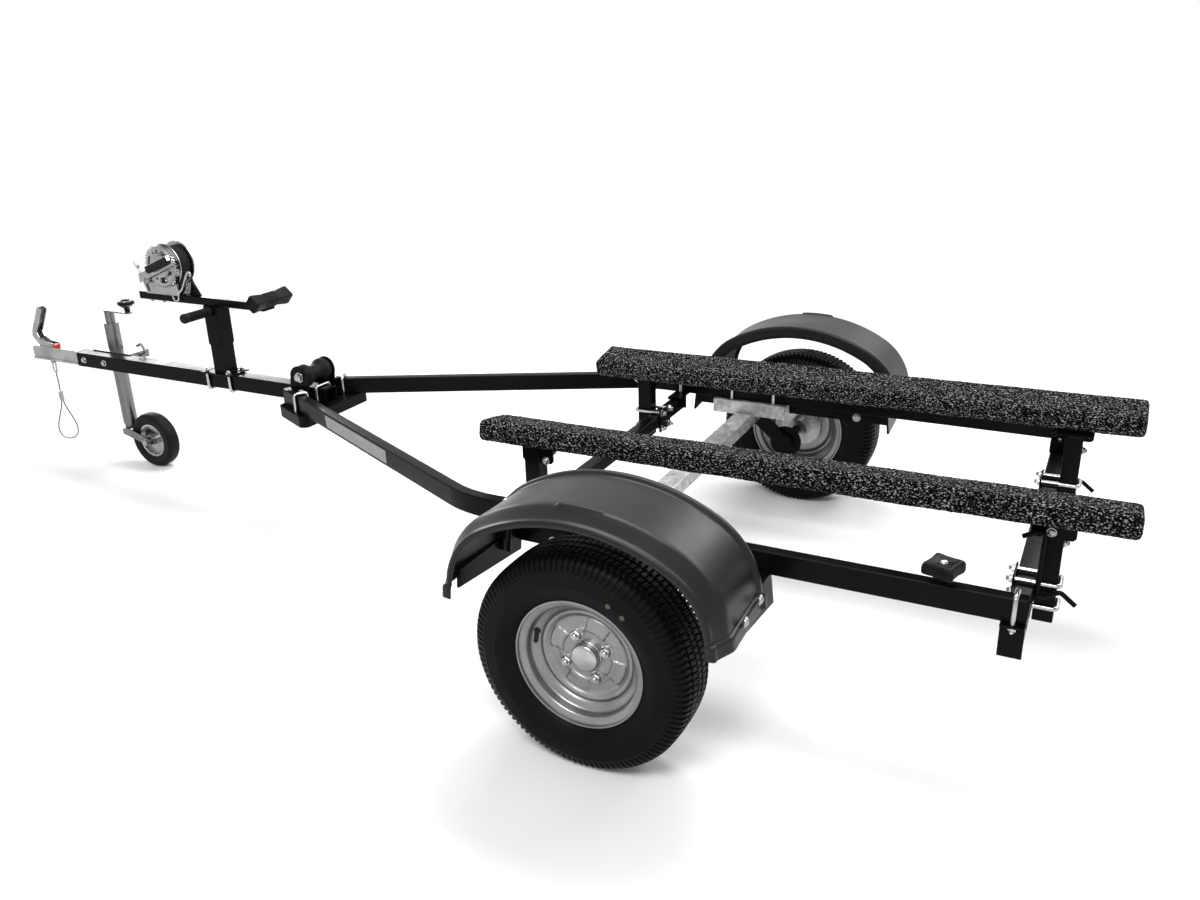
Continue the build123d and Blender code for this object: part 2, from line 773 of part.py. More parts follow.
# ---- Junction of the rails and the drawbar --------------------------------------------
def junction_plate():
    """Pressed tray under the drawbar and both rails, with the U-bolts that clamp them."""
    outline = make_face(Polyline(
        (plate_rear_x, plate_rear_half), (plate_front_x, plate_front_half),
        (plate_front_x, -plate_front_half), (plate_rear_x, -plate_rear_half), close=True))
    outline = fillet(outline.vertices(), plate_corner)
    tray = Pos(0, 0, rail_bottom_z - plate_depth) * extrude(outline, plate_depth)
    hollow = offset(outline, -plate_wall)
    tray -= Pos(0, 0, rail_bottom_z - plate_depth - 1) * extrude(
        hollow, plate_depth + 1 - plate_wall)
    clamped = rail_height + plate_wall
    slope = math.tan(math.radians(rail_splay))
    y = rail_y - slope * (junction_bolt_x - rail_bend_x)
    over_rail = Pos(junction_bolt_x, y, rail_top_z) * Rot(0, 0, -rail_splay)
    over_other = Pos(junction_bolt_x, -y, rail_top_z) * Rot(0, 0, rail_splay)
    over_bar = Pos(junction_bolt_x, 0, rail_top_z)
    for place, gap in ((over_rail, rail_width), (over_other, rail_width),
                       (over_bar, drawbar_size)):
        tray = fastened(tray, place, gap, clamped, pair=False)
    return tray


cheek_y = roller_length / 2 + cheek_gap


def roller_cradle():
    """Two angle brackets on the rails, joined by the roller's pin."""
    shape = rod_y(roller_pin_radius, -cheek_y - cheek_thickness - nut_height,
                  cheek_y + cheek_thickness + nut_height, roller_x, roller_z)
    front = cradle_foot_half
    cheek = side_plate([(roller_x - front, rail_top_z), (roller_x + cradle_front, rail_top_z),
                        (roller_x + cradle_ear_radius, roller_z),
                        (roller_x - cradle_ear_radius, roller_z)],
                       cheek_y, cheek_y + cheek_thickness)
    cheek += rod_y(cradle_ear_radius, cheek_y, cheek_y + cheek_thickness, roller_x, roller_z)
    foot = span_box(roller_x - front, roller_x + cradle_front, cheek_y, cheek_y + cradle_foot_width,
                    rail_top_z, rail_top_z + cheek_thickness)
    bracket = cheek + foot
    return shape + bracket + mirrored(bracket)


def keel_roller():
    """Waisted roller, thick at both ends."""
    half = roller_length / 2
    bore = roller_pin_radius + running_clearance
    side = [(bore, half), (roller_radius - 4, half), (roller_radius, half - 7),
            (roller_radius, half - 20), (roller_waist, 12)]
    return ring_y(side + [(r, -y) for r, y in reversed(side)], roller_x, 0, roller_z)


add("junction_plate", junction_plate())
add("roller_cradle", roller_cradle())
add("keel_roller", keel_roller())


# ---- Coupling ---------------------------------------------------------------------------
def coupling_body():
    """Pressed head with a rounded nose, a ball socket from below and a tail in the drawbar."""
    half = coupling_width / 2
    socket_x = coupling_nose_x - half

    def nosed(spare, z0, z1):
        body = span_box(drawbar_front_x, socket_x, spare - half, half - spare, z0, z1)
        return body + rod_z(half - spare, z0, z1, socket_x, 0)

    body = nosed(coupling_waist, coupling_bottom_z, coupling_top_z)
    body = chamfer(body.edges().group_by(Axis.Z)[-1], coupling_shoulder)
    head = body + nosed(0, coupling_bottom_z, coupling_bottom_z + coupling_lip)
    inner = drawbar_size / 2 - tube_wall
    tail = span_box(drawbar_front_x - coupling_tail_length, drawbar_front_x + coupling_wall,
                    -inner, inner, drawbar_mid_z - inner, drawbar_mid_z + inner)
    socket = rod_z(ball_socket_radius, coupling_bottom_z - 1,
                   coupling_bottom_z + ball_socket_depth, socket_x, 0)
    return head + tail - socket


def coupling_lever():
    """Folded channel handle that lifts to open the head."""
    side, channel = ([(coupling_nose_x - behind, coupling_top_z + above) for behind, above in view]
                     for view in (lever_side, lever_channel))
    inner = lever_half - lever_wall
    return side_plate(side, -lever_half, lever_half) - side_plate(channel, -inner, inner)


def coupling_bolts():
    """Round heads on the left of the drawbar and nuts on the right."""
    face = drawbar_size / 2
    for setback in coupling_bolt_setbacks:
        x = drawbar_front_x - setback
        yield rod_y(nut_radius, face, face + nut_height, x, coupling_bolt_z)
        nut = extrude(RegularPolygon(nut_radius, 6), nut_height)
        yield Pos(x, -face, coupling_bolt_z) * Rot(90, 0, 0) * nut


add("coupling_body", coupling_body())
add("coupling_lever", coupling_lever())
add("coupling_bolts", *coupling_bolts())


# ---- Jockey wheel -------------------------------------------------------------------------
jockey_wheel_x = jockey_x - jockey_trail
fork_top_z = jockey_tube_bottom_z - jockey_leg_drop


def jockey_clamp():
    """Clamp block between the drawbar's side and the jockey tube, and its top plate."""
    radius = jockey_tube_radius + seat_clearance
    z0, z1 = drawbar_mid_z - drawbar_size / 2, rail_top_z
    block = span_box(jockey_x - radius - 2, jockey_x + radius + 2, jockey_y,
                     -drawbar_size / 2, z0, z1)
    ring = rod_z(radius + clamp_wall, z0, z1, jockey_x, jockey_y)
    y0, y1 = jockey_y - radius, clamp_plate_lap - drawbar_size / 2
    rear_x = jockey_x - clamp_plate_rear
    top = span_box(rear_x, jockey_x + clamp_plate_front, y0, y1, z1, z1 + bracket_plate)
    flange = span_box(rear_x, rear_x + bracket_plate, y0, -drawbar_size / 2,
                      z1 - clamp_plate_flange, z1)
    y = (y0 - drawbar_size / 2) / 2
    low = z1 - clamp_plate_flange / 2
    handle = bent_rod([(rear_x + 1, y, low), (rear_x - 30, y, low + 14), (rear_x - 16, y, low + 44),
                       (rear_x + 8, y, low + 34)], clamp_handle_radius, 1.5 * clamp_handle_radius)
    bore = rod_z(radius, z0 - 1, z1 + 2 * bracket_plate, jockey_x, jockey_y)
    return block + ring + top + flange + handle - bore


def jockey_tube():
    """Outer tube with its cap, crank boss, crank arm and knob."""
    tube = rod_z(jockey_tube_radius, jockey_tube_bottom_z, jockey_tube_top_z, jockey_x, jockey_y)
    bore = rod_z(jockey_tube_radius - jockey_tube_wall, jockey_tube_bottom_z - 1,
                 jockey_tube_top_z - cap_thickness, jockey_x, jockey_y)
    top = jockey_tube_top_z
    arm_z = top + boss_height
    end_x = jockey_x - crank_reach
    tube = tube - bore + rod_z(boss_radius, top, arm_z, jockey_x, jockey_y)
    tube += span_box(end_x - 12, jockey_x + 14, jockey_y - 10, jockey_y + 10, arm_z, arm_z + 5)
    stem_z = arm_z + 5
    profile = [(0, 0), (9, 0), (9, 14), (24, 26), (26, 34), (22, 42), (0, 46)]
    outline = make_face(Polyline(*[(r, 0, z) for r, z in profile], close=True))
    return tube + Pos(end_x, jockey_y, stem_z) * revolve(outline, Axis.Z)


def jockey_leg():
    """Inner tube that the screw drives down."""
    radius = jockey_tube_radius - jockey_tube_wall - jockey_leg_clearance
    return rod_z(radius, fork_top_z, fork_top_z + jockey_leg_length, jockey_x, jockey_y)


def jockey_fork():
    """Castor fork under the leg, trailing back to the wheel's pin."""
    top = fork_top_z - seat_clearance
    half = jockey_wheel_width / 2 + fork_gap
    outer = half + fork_plate
    crown = span_box(jockey_x - fork_crown_rear, jockey_x + fork_crown_front,
                     jockey_y - outer, jockey_y + outer, top - fork_plate, top)
    arm = side_plate([(jockey_x + fork_crown_front, top), (jockey_x - 34, top),
                      (jockey_wheel_x - 15, jockey_wheel_radius + 6),
                      (jockey_wheel_x - 12, jockey_wheel_radius - 12),
                      (jockey_wheel_x + 4, jockey_wheel_radius - 15),
                      (jockey_x + fork_crown_front, top - 22)], 0, fork_plate)
    shape = crown + Pos(0, jockey_y + half, 0) * arm + Pos(0, jockey_y - outer, 0) * arm
    return shape + rod_y(jockey_axle_radius, jockey_y - outer - nut_height,
                         jockey_y + outer + nut_height, jockey_wheel_x, jockey_wheel_radius)


def jockey_wheel_parts():
    half = jockey_wheel_width / 2
    r = jockey_wheel_radius
    seat = jockey_seat_radius
    tread = [(seat, half - 3), (r - 12, half), (r - 3, half - 5), (r, half * 0.4)]
    tread += [(radius, -y) for radius, y in reversed(tread)]
    bore = jockey_axle_radius + running_clearance
    centre = [(bore, half), (18, half), (18, 4), (seat - 12, 4), (seat - 8, half - 6),
              (seat - seat_clearance, half - 6)]
    centre += [(radius, -y) for radius, y in reversed(centre)]
    return (ring_y(tread, jockey_wheel_x, jockey_y, r),
            ring_y(centre, jockey_wheel_x, jockey_y, r))


jockey_tyre, jockey_rim = jockey_wheel_parts()
add("jockey_clamp", jockey_clamp())
add("jockey_tube", jockey_tube())
add("jockey_leg", jockey_leg())
add("jockey_fork", jockey_fork())
add("jockey_tyre", jockey_tyre)
add("jockey_rim", jockey_rim)


# ---- Winch post, arm, bow block and winch ------------------------------------------------
arm_top_z = arm_bottom_z + arm_height
foot_top_z = rail_top_z + foot_thickness


def winch_post():
    """Square post on a foot that two U-bolts hold to the drawbar."""
    half = post_size / 2
    tube = span_box(post_x - half, post_x + half, -half, half, foot_top_z, arm_bottom_z)
    wide = drawbar_size / 2 + 2 * bolt_radius + nut_radius
    middle = post_x + foot_shift
    foot = span_box(middle - foot_half_length, middle + foot_half_length, -wide, wide,
                    rail_top_z, foot_top_z)
    for side in (-1, 1):
        place = Pos(middle + side * foot_bolt_offset, 0, rail_bottom_z) * Rot(180, 0, 0)
        foot = fastened(foot, place, drawbar_size, drawbar_size + foot_thickness, pair=False)
    return tube + foot


def post_sleeve():
    half = post_sleeve_size / 2
    inner = post_size / 2
    outer = span_box(post_x - half, post_x + half, -half, half,
                     post_sleeve_bottom_z, arm_bottom_z)
    return outer - span_box(post_x - inner, post_x + inner, -inner, inner,
                            post_sleeve_bottom_z - 1, arm_bottom_z + 1)


def winch_arm():
    """Flat tube along the post's top, with a gusset behind the winch."""
    arm = span_box(arm_rear_x, arm_front_x, -arm_width / 2, arm_width / 2,
                   arm_bottom_z, arm_top_z)
    foot_x = winch_x - gusset_reach
    return arm + side_plate([(foot_x, arm_top_z), (foot_x - gusset_length, arm_top_z),
                             (foot_x - gusset_length / 3, arm_top_z + gusset_height)],
                            -gusset_thickness / 2, gusset_thickness / 2)


def bow_block():
    """Rubber block on the arm's end: square ends, a slimmer middle, turned on its edge."""
    half = bow_block_length / 2
    sections = []
    for y, size in ((-half, bow_block_size), (-half / 3, bow_block_waist),
                    (half / 3, bow_block_waist), (half, bow_block_size)):
        plane = Plane(origin=(0, y, 0), x_dir=(1, 0, 0), z_dir=(0, 1, 0))
        sections.append(plane * Rectangle(size, size))
    block = loft(sections, ruled=True)
    return Pos(bow_block_x, 0, bow_block_z) * Rot(0, bow_block_turn, 0) * block - winch_arm()


def winch_frame():
    """Base and two side plates that carry both shafts."""
    half = winch_drum_width / 2 + drum_gap
    t = frame_plate
    low, high = arm_top_z, winch_axis_z + frame_rise
    rear, front = winch_x - frame_rear, winch_x + frame_front
    shape = span_box(rear, front, -half - t, half + t, low, low + t + 1)
    ears = [(winch_x + x, low + z) for x, z in (frame_front_corner, frame_rear_corner)]
    plate = side_plate([(rear, low), (front, low), ears[0], (winch_x + frame_top_half, high),
                        (winch_x - frame_top_half, high), ears[1]], half, half + t)
    shape += plate + mirrored(plate)
    bore = winch_shaft_radius + running_clearance
    for x, z in ((winch_x, winch_axis_z), (pinion_x, pinion_z)):
        shape -= rod_y(bore, -2 * half, 2 * half, x, z)
    return shape


pinion_radius = winch_gear_radius * pinion_teeth / winch_teeth
centre_distance = winch_gear_radius + pinion_radius
pinion_z = winch_axis_z - math.sqrt(centre_distance ** 2 - (pinion_x - winch_x) ** 2)
mesh_angle = math.degrees(math.atan2(pinion_z - winch_axis_z, pinion_x - winch_x))
gear_y = winch_drum_width / 2 + drum_gap + frame_plate + gear_gap


def gear(teeth, pitch_radius, x, z, y0, y1, phase):
    """Spur gear with straight-sided teeth."""
    module = pitch_radius * 2 / teeth
    step = 360 / teeth
    points = []
    for k in range(teeth):
        for part, height in ((-0.28, -1.15), (-0.10, 0.85), (0.10, 0.85), (0.28, -1.15)):
            angle = math.radians(phase + step * (k + part))
            r = pitch_radius + height * module
            points.append((x + r * math.cos(angle), z + r * math.sin(angle)))
    return side_plate(points, y0, y1)


def winch_drum():
    """Shaft, two flanges, core and the large gear on the left."""
    half = winch_drum_width / 2
    shape = rod_y(winch_shaft_radius, -half - shaft_end, gear_y + winch_gear_width + 2,
                  winch_x, winch_axis_z)
    shape += rod_y(drum_core_radius, -half, half, winch_x, winch_axis_z)
    for y in (-half, half - flange_thickness):
        shape += rod_y(winch_drum_radius, y, y + flange_thickness, winch_x, winch_axis_z)
    return shape + gear(winch_teeth, winch_gear_radius, winch_x, winch_axis_z,
                        gear_y, gear_y + winch_gear_width, mesh_angle)


def winch_strap():
    """Webbing wound on the drum."""
    half = winch_drum_width / 2 - flange_thickness - 2
    coil = rod_y(strap_coil_radius, -half, half, winch_x, winch_axis_z)
    return coil - rod_y(drum_core_radius, -half - 1, half + 1, winch_x, winch_axis_z)


def winch_crank():
    """Pinion on its shaft with the crank arm and grip."""
    half = winch_drum_width / 2
    y1 = gear_y + winch_gear_width + crank_gap
    shaft = rod_y(winch_shaft_radius, -half - shaft_end, y1 + 8, pinion_x, pinion_z)
    pinion = gear(pinion_teeth, pinion_radius, pinion_x, pinion_z, gear_y - 0.5,
                  gear_y + winch_gear_width + 0.5, mesh_angle + 180 + 180 / pinion_teeth)
    arm = side_plate([(pinion_x + 18, pinion_z - 16), (pinion_x + 18, pinion_z + 14),
                      (pinion_x - crank_length, pinion_z + crank_rise + 9),
                      (pinion_x - crank_length - 4, pinion_z + crank_rise - 7)],
                     y1, y1 + crank_thickness)
    rise = math.degrees(math.atan2(crank_rise, crank_length))
    grip_y = y1 + crank_thickness + crank_grip_radius
    grip = (Pos(pinion_x - crank_length, grip_y, pinion_z + crank_rise + crank_grip_lift)
            * Rot(0, rise, 0) * rod_x(crank_grip_radius, 0, crank_grip_length, 0, 0))
    hinge = rod_y(crank_grip_radius / 2, y1, grip_y, pinion_x - crank_length + 8,
                  pinion_z + crank_rise + crank_grip_lift / 2)
    return shaft + pinion + arm + grip + hinge


add("winch_post", winch_post())
add("winch_post_sleeve", post_sleeve())
add("post_grip", rod_y(grip_radius, post_sleeve_size / 2, grip_end_y, post_x, grip_z))
add("winch_arm", winch_arm())
add("bow_block", bow_block())
add("winch_frame", winch_frame())
add("winch_drum", winch_drum())
add("winch_strap", winch_strap())
add("winch_crank", winch_crank())


# ---- Knobs on the rails and hook rods on the rear posts --------------------------------------
def star_knob():
    """Four-lobed knob on a stem that threads into the rail."""
    base = rail_top_z + knob_stem
    shape = rod_z(bolt_radius, rail_top_z, base, knob_x, rail_y)
    shape += rod_z(knob_radius * 0.6, base, base + knob_height, knob_x, rail_y)
    lobe = knob_radius * 0.38
    for k in range(4):
        angle = math.radians(45 + 90 * k)
        reach = knob_radius - lobe
        shape += rod_z(lobe, base, base + knob_height, knob_x + reach * math.cos(angle),
                       rail_y + reach * math.sin(angle))
    return shape


def hook_rod():
    """Bent rod beside a rear post: a short hook forward at the top, another behind below."""
    y = rear_post_y + post_tube_size / 2 + 2 * bolt_radius + hook_rod_radius
    x = rear_cross_x - rear_cross_size / 2 - hook_rod_radius
    top, bottom = hook_rod_top_z, hook_rod_bottom_z
    points = [(x + hook_rod_tip[0], y, top - hook_rod_tip[1]), (x, y, top), (x, y, bottom),
              (x - hook_rod_crest[0], y, bottom + hook_rod_crest[1]),
              (x - hook_rod_tail, y, bottom)]
    return bent_rod(points, hook_rod_radius, hook_rod_bend)


for piece_name, piece in (("star_knobs", star_knob()), ("hook_rods", hook_rod())):
    add(piece_name, piece, mirrored(piece))


# ---- Safety wire ------------------------------------------------------------------------------
wire_x = coupling_nose_x - wire_eye_x
link_top_z = coupling_bottom_z - link_width / 2
lead_top_z = link_top_z - link_length
ferrule_top_z = lead_top_z - lead_length
ferrule_bottom_z = ferrule_top_z - ferrule_length


def corner_radii(points):
    """The largest bend at each corner that leaves a tenth of its shorter run straight."""
    radii = []
    for before, here, after in zip(points, points[1:], points[2:]):
        one, two = Vector(*here) - Vector(*before), Vector(*after) - Vector(*here)
        half_turn = math.radians(one.get_angle(two)) / 2
        radii.append(0.45 * min(one.length, two.length) / math.tan(half_turn))
    return radii


def wire(name, points, turn=0):
    """Rope through points in an upright plane turned about Z, as straight runs and arcs."""
    c, s = math.cos(math.radians(turn)), math.sin(math.radians(turn))
    route = [(wire_x + x * c, x * s, z) for x, z in points]
    radii = corner_radii(route)
    print(name, "bend radii", [round(r, 1) for r in radii])
    path = FilletPolyline(*route, radius=radii)
    section = Plane(origin=path @ 0, z_dir=path % 0) * Circle(wire_radius)
    rope = sweep(section, path=path)
    print(name, "length", round(path.length, 1),
          "volume ratio", round(rope.volume / (math.pi * wire_radius ** 2 * path.length), 3))
    return rope


def lead_points():
    """Centre line from the link's lower bend to the ferrule, with a little slack."""
    return [(0, lead_top_z), (0, lead_top_z - lead_length * 0.25),
            (-2, lead_top_z - lead_length * 0.5), (0, lead_top_z - lead_length * 0.75),
            (0, ferrule_top_z)]


def loop_points():
    """Teardrop from one side of the ferrule's lower end round to the other."""
    neck = ferrule_width / 2 - 2 * wire_radius
    half, low = loop_width / 2, ferrule_bottom_z
    right = [(neck, low), (neck, low - 0.1 * loop_length), (0.72 * half, low - 0.45 * loop_length),
             (1.08 * half, low - 0.76 * loop_length), (0.62 * half, low - loop_length)]
    return right + [(-x, z) for x, z in reversed(right)]


def wire_fittings():
    """Eye under the coupling with its long link, and the crimped ferrule."""
    hole_low = link_top_z - 2 * wire_radius - 2 * seat_clearance
    eye = span_box(wire_x - wire_radius, wire_x + wire_radius, -link_width / 2, link_width / 2,
                   hole_low - 2 * wire_radius, coupling_bottom_z)
    eye -= span_box(wire_x - 2 * wire_radius, wire_x + 2 * wire_radius, -link_width / 4,
                    link_width / 4, hole_low, link_top_z + wire_radius)
    half_width, half_length = link_width / 2 - wire_radius, link_length / 2
    middle_z = link_top_z - half_length
    outline = SlotOverall(link_length, link_width) - SlotOverall(
        link_length - 4 * wire_radius, link_width - 4 * wire_radius)
    link = extrude(Plane(origin=(wire_x, 0, middle_z), x_dir=(0, 0, 1), z_dir=(0, 1, 0))
                   * outline, wire_radius, both=True)
    ferrule = Box(ferrule_width, ferrule_depth, ferrule_length)
    ferrule = fillet(ferrule.edges().filter_by(Axis.Z), ferrule_depth / 3)
    middle = (ferrule_top_z + ferrule_bottom_z) / 2
    return eye, link, Pos(wire_x, 0, middle) * Rot(0, 0, loop_turn) * ferrule


add("safety_wire_lead", wire("lead", lead_points()))
add("safety_wire_loop", wire("loop", loop_points(), loop_turn))
add("safety_wire_fittings", *wire_fittings())


# ---- Write one file for each node ----------------------------------------------------------
os.makedirs("parts", exist_ok=True)
for name, solids in nodes.items():
    placed = [Pos(-mid_x, 0, 0) * solid for shape in solids for solid in shape.solids()]
    export_step(placed[0] if len(placed) == 1 else Compound(placed), f"parts/{name}.step")
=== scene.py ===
"""Finishes and fine shapes of a single-axle watercraft trailer.

Stations are millimetres in the trailer's own frame: X ahead of the axle line,
Y to the left, Z above the ground. place() turns one into a point of the frame.
"""

import math

import bmesh
import bpy
from mathutils import Matrix, Quaternion, Vector, noise
from mathutils.geometry import tessellate_polygon


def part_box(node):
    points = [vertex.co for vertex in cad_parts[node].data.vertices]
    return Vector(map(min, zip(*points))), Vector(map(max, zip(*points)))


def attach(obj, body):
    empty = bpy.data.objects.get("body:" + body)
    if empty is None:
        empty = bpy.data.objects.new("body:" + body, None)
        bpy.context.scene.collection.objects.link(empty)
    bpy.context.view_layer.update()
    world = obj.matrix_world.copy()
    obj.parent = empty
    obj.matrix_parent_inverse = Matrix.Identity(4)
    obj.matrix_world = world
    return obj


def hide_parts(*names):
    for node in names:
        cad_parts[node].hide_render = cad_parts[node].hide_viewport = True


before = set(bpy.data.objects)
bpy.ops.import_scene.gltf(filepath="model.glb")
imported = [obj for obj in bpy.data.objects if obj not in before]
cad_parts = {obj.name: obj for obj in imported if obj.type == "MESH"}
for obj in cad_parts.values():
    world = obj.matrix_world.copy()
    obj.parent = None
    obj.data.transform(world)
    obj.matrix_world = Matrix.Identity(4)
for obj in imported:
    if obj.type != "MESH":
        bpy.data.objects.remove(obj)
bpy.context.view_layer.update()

MM = 0.001
TAU = 2 * math.pi
QUARTER = TAU / 4
SIDES = ((1, "left"), (-1, "right"))
ALONG, BACK = Vector((1, 0, 0)), Vector((-1, 0, 0))
ACROSS, RIGHTWARD = Vector((0, 1, 0)), Vector((0, -1, 0))
UP, DOWN = Vector((0, 0, 1)), Vector((0, 0, -1))
tyre_low, tyre_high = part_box("tyre_left")
AXLE_X = (tyre_low.x + tyre_high.x) / 2
WHEEL_Y = (tyre_low.y + tyre_high.y) / 2 / MM
TYRE_RADIUS = (tyre_high.z - tyre_low.z) / 2 / MM


def place(x, y, z):
    """A point of the frame, in metres, from a station in millimetres."""
    return Vector((AXLE_X + x * MM, y * MM, z * MM))


def node_span(node):
    """Lowest and highest stations of a CAD node."""
    low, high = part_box(node)
    shift = Vector((AXLE_X, 0, 0))
    return (low - shift) / MM, (high - shift) / MM


def middle_of(node):
    low, high = node_span(node)
    return (low + high) / 2


def new_object(name, data):
    """Object of the scene round a mesh, curve, lamp or camera."""
    made = bpy.data.objects.new(name, data)
    bpy.context.scene.collection.objects.link(made)
    return made


# ---- Finishes --------------------------------------------
WHITE = (1, 1, 1, 1)


def new_node(tree, kind, **inputs):
    """Shader node with inputs set or linked; an underscore stands for a space."""
    node = tree.nodes.new(kind)
    for word, value in inputs.items():
        socket = node.inputs[word.replace("_", " ")]
        if isinstance(value, bpy.types.NodeSocket):
            tree.links.new(value, socket)
        else:
            socket.default_value = value
    return node


def mixed(tree, share, one, two):
    """Output of a mix of two shader nodes: the second one where share is 1."""
    node = new_node(tree, "ShaderNodeMixShader", Fac=share)
    tree.links.new(one.outputs[0], node.inputs[1])
    tree.links.new(two.outputs[0], node.inputs[2])
    return node.outputs[0]


class Finish:
    """A Principled material with short calls for the textures behind it."""

    def __init__(self, name, colour, roughness, **sockets):
        self.material = bpy.data.materials.new(name)
        self.material.use_nodes = True
        self.tree = self.material.node_tree
        self.shader = self.tree.nodes["Principled BSDF"]
        self.coordinates = new_node(self.tree, "ShaderNodeTexCoord").outputs["Object"]
        sockets.update(Base_Color=(*colour, 1), Roughness=roughness)
        for word, value in sockets.items():
            self.shader.inputs[word.replace("_", " ")].default_value = value

    def noise(self, scale, detail, stretch=(1, 1, 1)):
        return new_node(self.tree, "ShaderNodeTexNoise", Scale=scale, Detail=detail,
                        Vector=self.stretched(stretch)).outputs["Fac"]

    def cells(self, scale, output="Distance", stretch=(1, 1, 1)):
        return new_node(self.tree, "ShaderNodeTexVoronoi", Scale=scale,
                        Vector=self.stretched(stretch)).outputs[output]

    def stretched(self, stretch):
        if stretch == (1, 1, 1):
            return self.coordinates
        return new_node(self.tree, "ShaderNodeMapping", Scale=stretch,
                        Vector=self.coordinates).outputs["Vector"]

    def ramp(self, value, *stops):
        """Colour that runs through stops, each a position and a colour."""
        node = new_node(self.tree, "ShaderNodeValToRGB", Fac=value)
        points = node.color_ramp.elements
        while len(points) < len(stops):
            points.new(0.5)
        for point, (position, colour) in zip(points, stops):
            point.position = position
            point.color = (*colour, 1)
        return node.outputs["Color"]

    def span(self, value, low, high, start=0.3, end=0.7):
        """Number that runs from low to high as value runs from start to end."""
        return new_node(self.tree, "ShaderNodeMapRange", Value=value, From_Min=start,
                        From_Max=end, To_Min=low, To_Max=high).outputs["Result"]

    def link(self, output, socket):
        self.tree.links.new(output, self.shader.inputs[socket])

    def bump(self, height, distance, strength):
        """Relief, its depth in metres."""
        node = new_node(self.tree, "ShaderNodeBump", Strength=strength, Distance=distance,
                        Height=height)
        self.link(node.outputs["Normal"], "Normal")


def grey(level):
    return (level, level, level)


def worn(name, clouds, stops, patches, roughness, grain, relief, **sockets):
    """Finish whose colour and roughness drift, with a fine grain.

    clouds, patches and grain are the scale and detail of a noise each; relief is
    the grain's depth and strength.
    """
    f = Finish(name, stops[0][1], roughness[0], **sockets)
    f.link(f.ramp(f.noise(*clouds), *stops), "Base Color")
    f.link(f.span(f.noise(*patches), *roughness), "Roughness")
    f.bump(f.noise(*grain), *relief)
    return f.material


def zinc(name, level, low, high, streaks=(1, 1, 1)):
    """Zinc plate; streaks stretch its clouding along a drawn tube."""
    dark = (level * 0.72, level * 0.74, level * 0.75)
    light = (level * 1.1, level * 1.1, level * 1.07)
    return worn(name, clouds=(24, 4, streaks), stops=((0.32, dark), (0.68, light)),
                patches=(40, 4), roughness=(low, high), grain=(300, 2), relief=(0.0001, 0.06),
                Metallic=1.0)


def dull_black(name, level, roughness, grain):
    stops = ((0.3, grey(level * 0.7)), (0.7, grey(level * 1.4)))
    return worn(name, clouds=(12, 5), stops=stops, patches=(24, 4),
                roughness=(roughness - 0.1, roughness + 0.12), grain=(grain, 3),
                relief=(0.0003, 0.4), Specular_IOR_Level=0.1)


def galvanised():
    """Hot-dip zinc with its spangle."""
    f = Finish("galvanised", (0.5, 0.51, 0.52), 0.42, Metallic=0.9)
    f.link(f.ramp(f.cells(95, "Color"), (0.1, (0.36, 0.365, 0.36)), (0.5, (0.46, 0.465, 0.46)),
                  (0.9, (0.6, 0.605, 0.6))), "Base Color")
    f.link(f.span(f.noise(26, 5), 0.3, 0.55), "Roughness")
    f.bump(f.noise(60, 4), 0.0004, 0.15)
    return f.material


def carpet():
    """Black marine carpet flecked with pale fibres."""
    f = Finish("carpet", grey(0.01), 0.95, Specular_IOR_Level=0.04)
    f.link(f.ramp(f.noise(300, 2, (0.7, 1.2, 1.2)), (0.51, grey(0.001)), (0.57, grey(0.02)),
                  (0.64, grey(0.27)), (0.71, grey(0.42))), "Base Color")
    f.bump(f.noise(380, 4), 0.003, 1.0)
    return f.material


def webbing():
    f = Finish("webbing", grey(0.01), 0.7, Specular_IOR_Level=0.12)
    weave = f.cells(900, stretch=(1, 0.45, 1))
    f.link(f.ramp(weave, (0.2, grey(0.012)), (0.7, grey(0.004))), "Base Color")
    f.bump(weave, 0.0005, 0.6)
    return f.material


def plain(name, colour, roughness, metallic=0.0):
    f = Finish(name, colour, roughness, Metallic=metallic)
    f.link(f.span(f.noise(40, 4), roughness * 0.8, roughness * 1.25), "Roughness")
    f.bump(f.noise(500, 2), 0.0001, 0.25)
    return f.material


BLACK = worn("powder_coat", Specular_IOR_Level=0.06,
             clouds=(5, 6), stops=((0.35, grey(0.002)), (0.75, grey(0.004))),
             patches=(9, 5), roughness=(0.18, 0.34), grain=(900, 2), relief=(0.00012, 0.35))
SILVER = worn("wheel_silver", Metallic=0.85, Coat_Weight=0.15, Coat_Roughness=0.2,
              clouds=(14, 5), stops=((0.3, (0.2, 0.203, 0.2)), (0.7, (0.26, 0.263, 0.258))),
              patches=(520, 2), roughness=(0.26, 0.4), grain=(700, 2), relief=(0.0001, 0.15))
RUBBER = worn("tyre_rubber", Specular_IOR_Level=0.065,
              clouds=(7, 6), stops=((0.3, grey(0.0025)), (0.7, (0.0045, 0.0045, 0.005))),
              patches=(18, 5), roughness=(0.34, 0.54), grain=(240, 3), relief=(0.0003, 0.35))
PLASTIC = worn("moulded_plastic", Specular_IOR_Level=0.22,
               clouds=(6, 6), stops=((0.3, grey(0.006)), (0.7, grey(0.009))),
               patches=(11, 5), roughness=(0.28, 0.38), grain=(1100, 2), relief=(0.0002, 0.4))
BLACK_RUBBER = dull_black("black_rubber", 0.005, 0.5, 300)
BLACK_PLASTIC = dull_black("black_plastic", 0.004, 0.4, 800)
ZINC = zinc("zinc_plate", 0.38, 0.18, 0.32)
BRIGHT = zinc("bright_steel", 0.46, 0.14, 0.26)
DULL = zinc("dull_zinc", 0.2, 0.26, 0.4, (1.6, 1.6, 0.06))
GALVANISED = galvanised()
CARPET = carpet()
WEBBING = webbing()
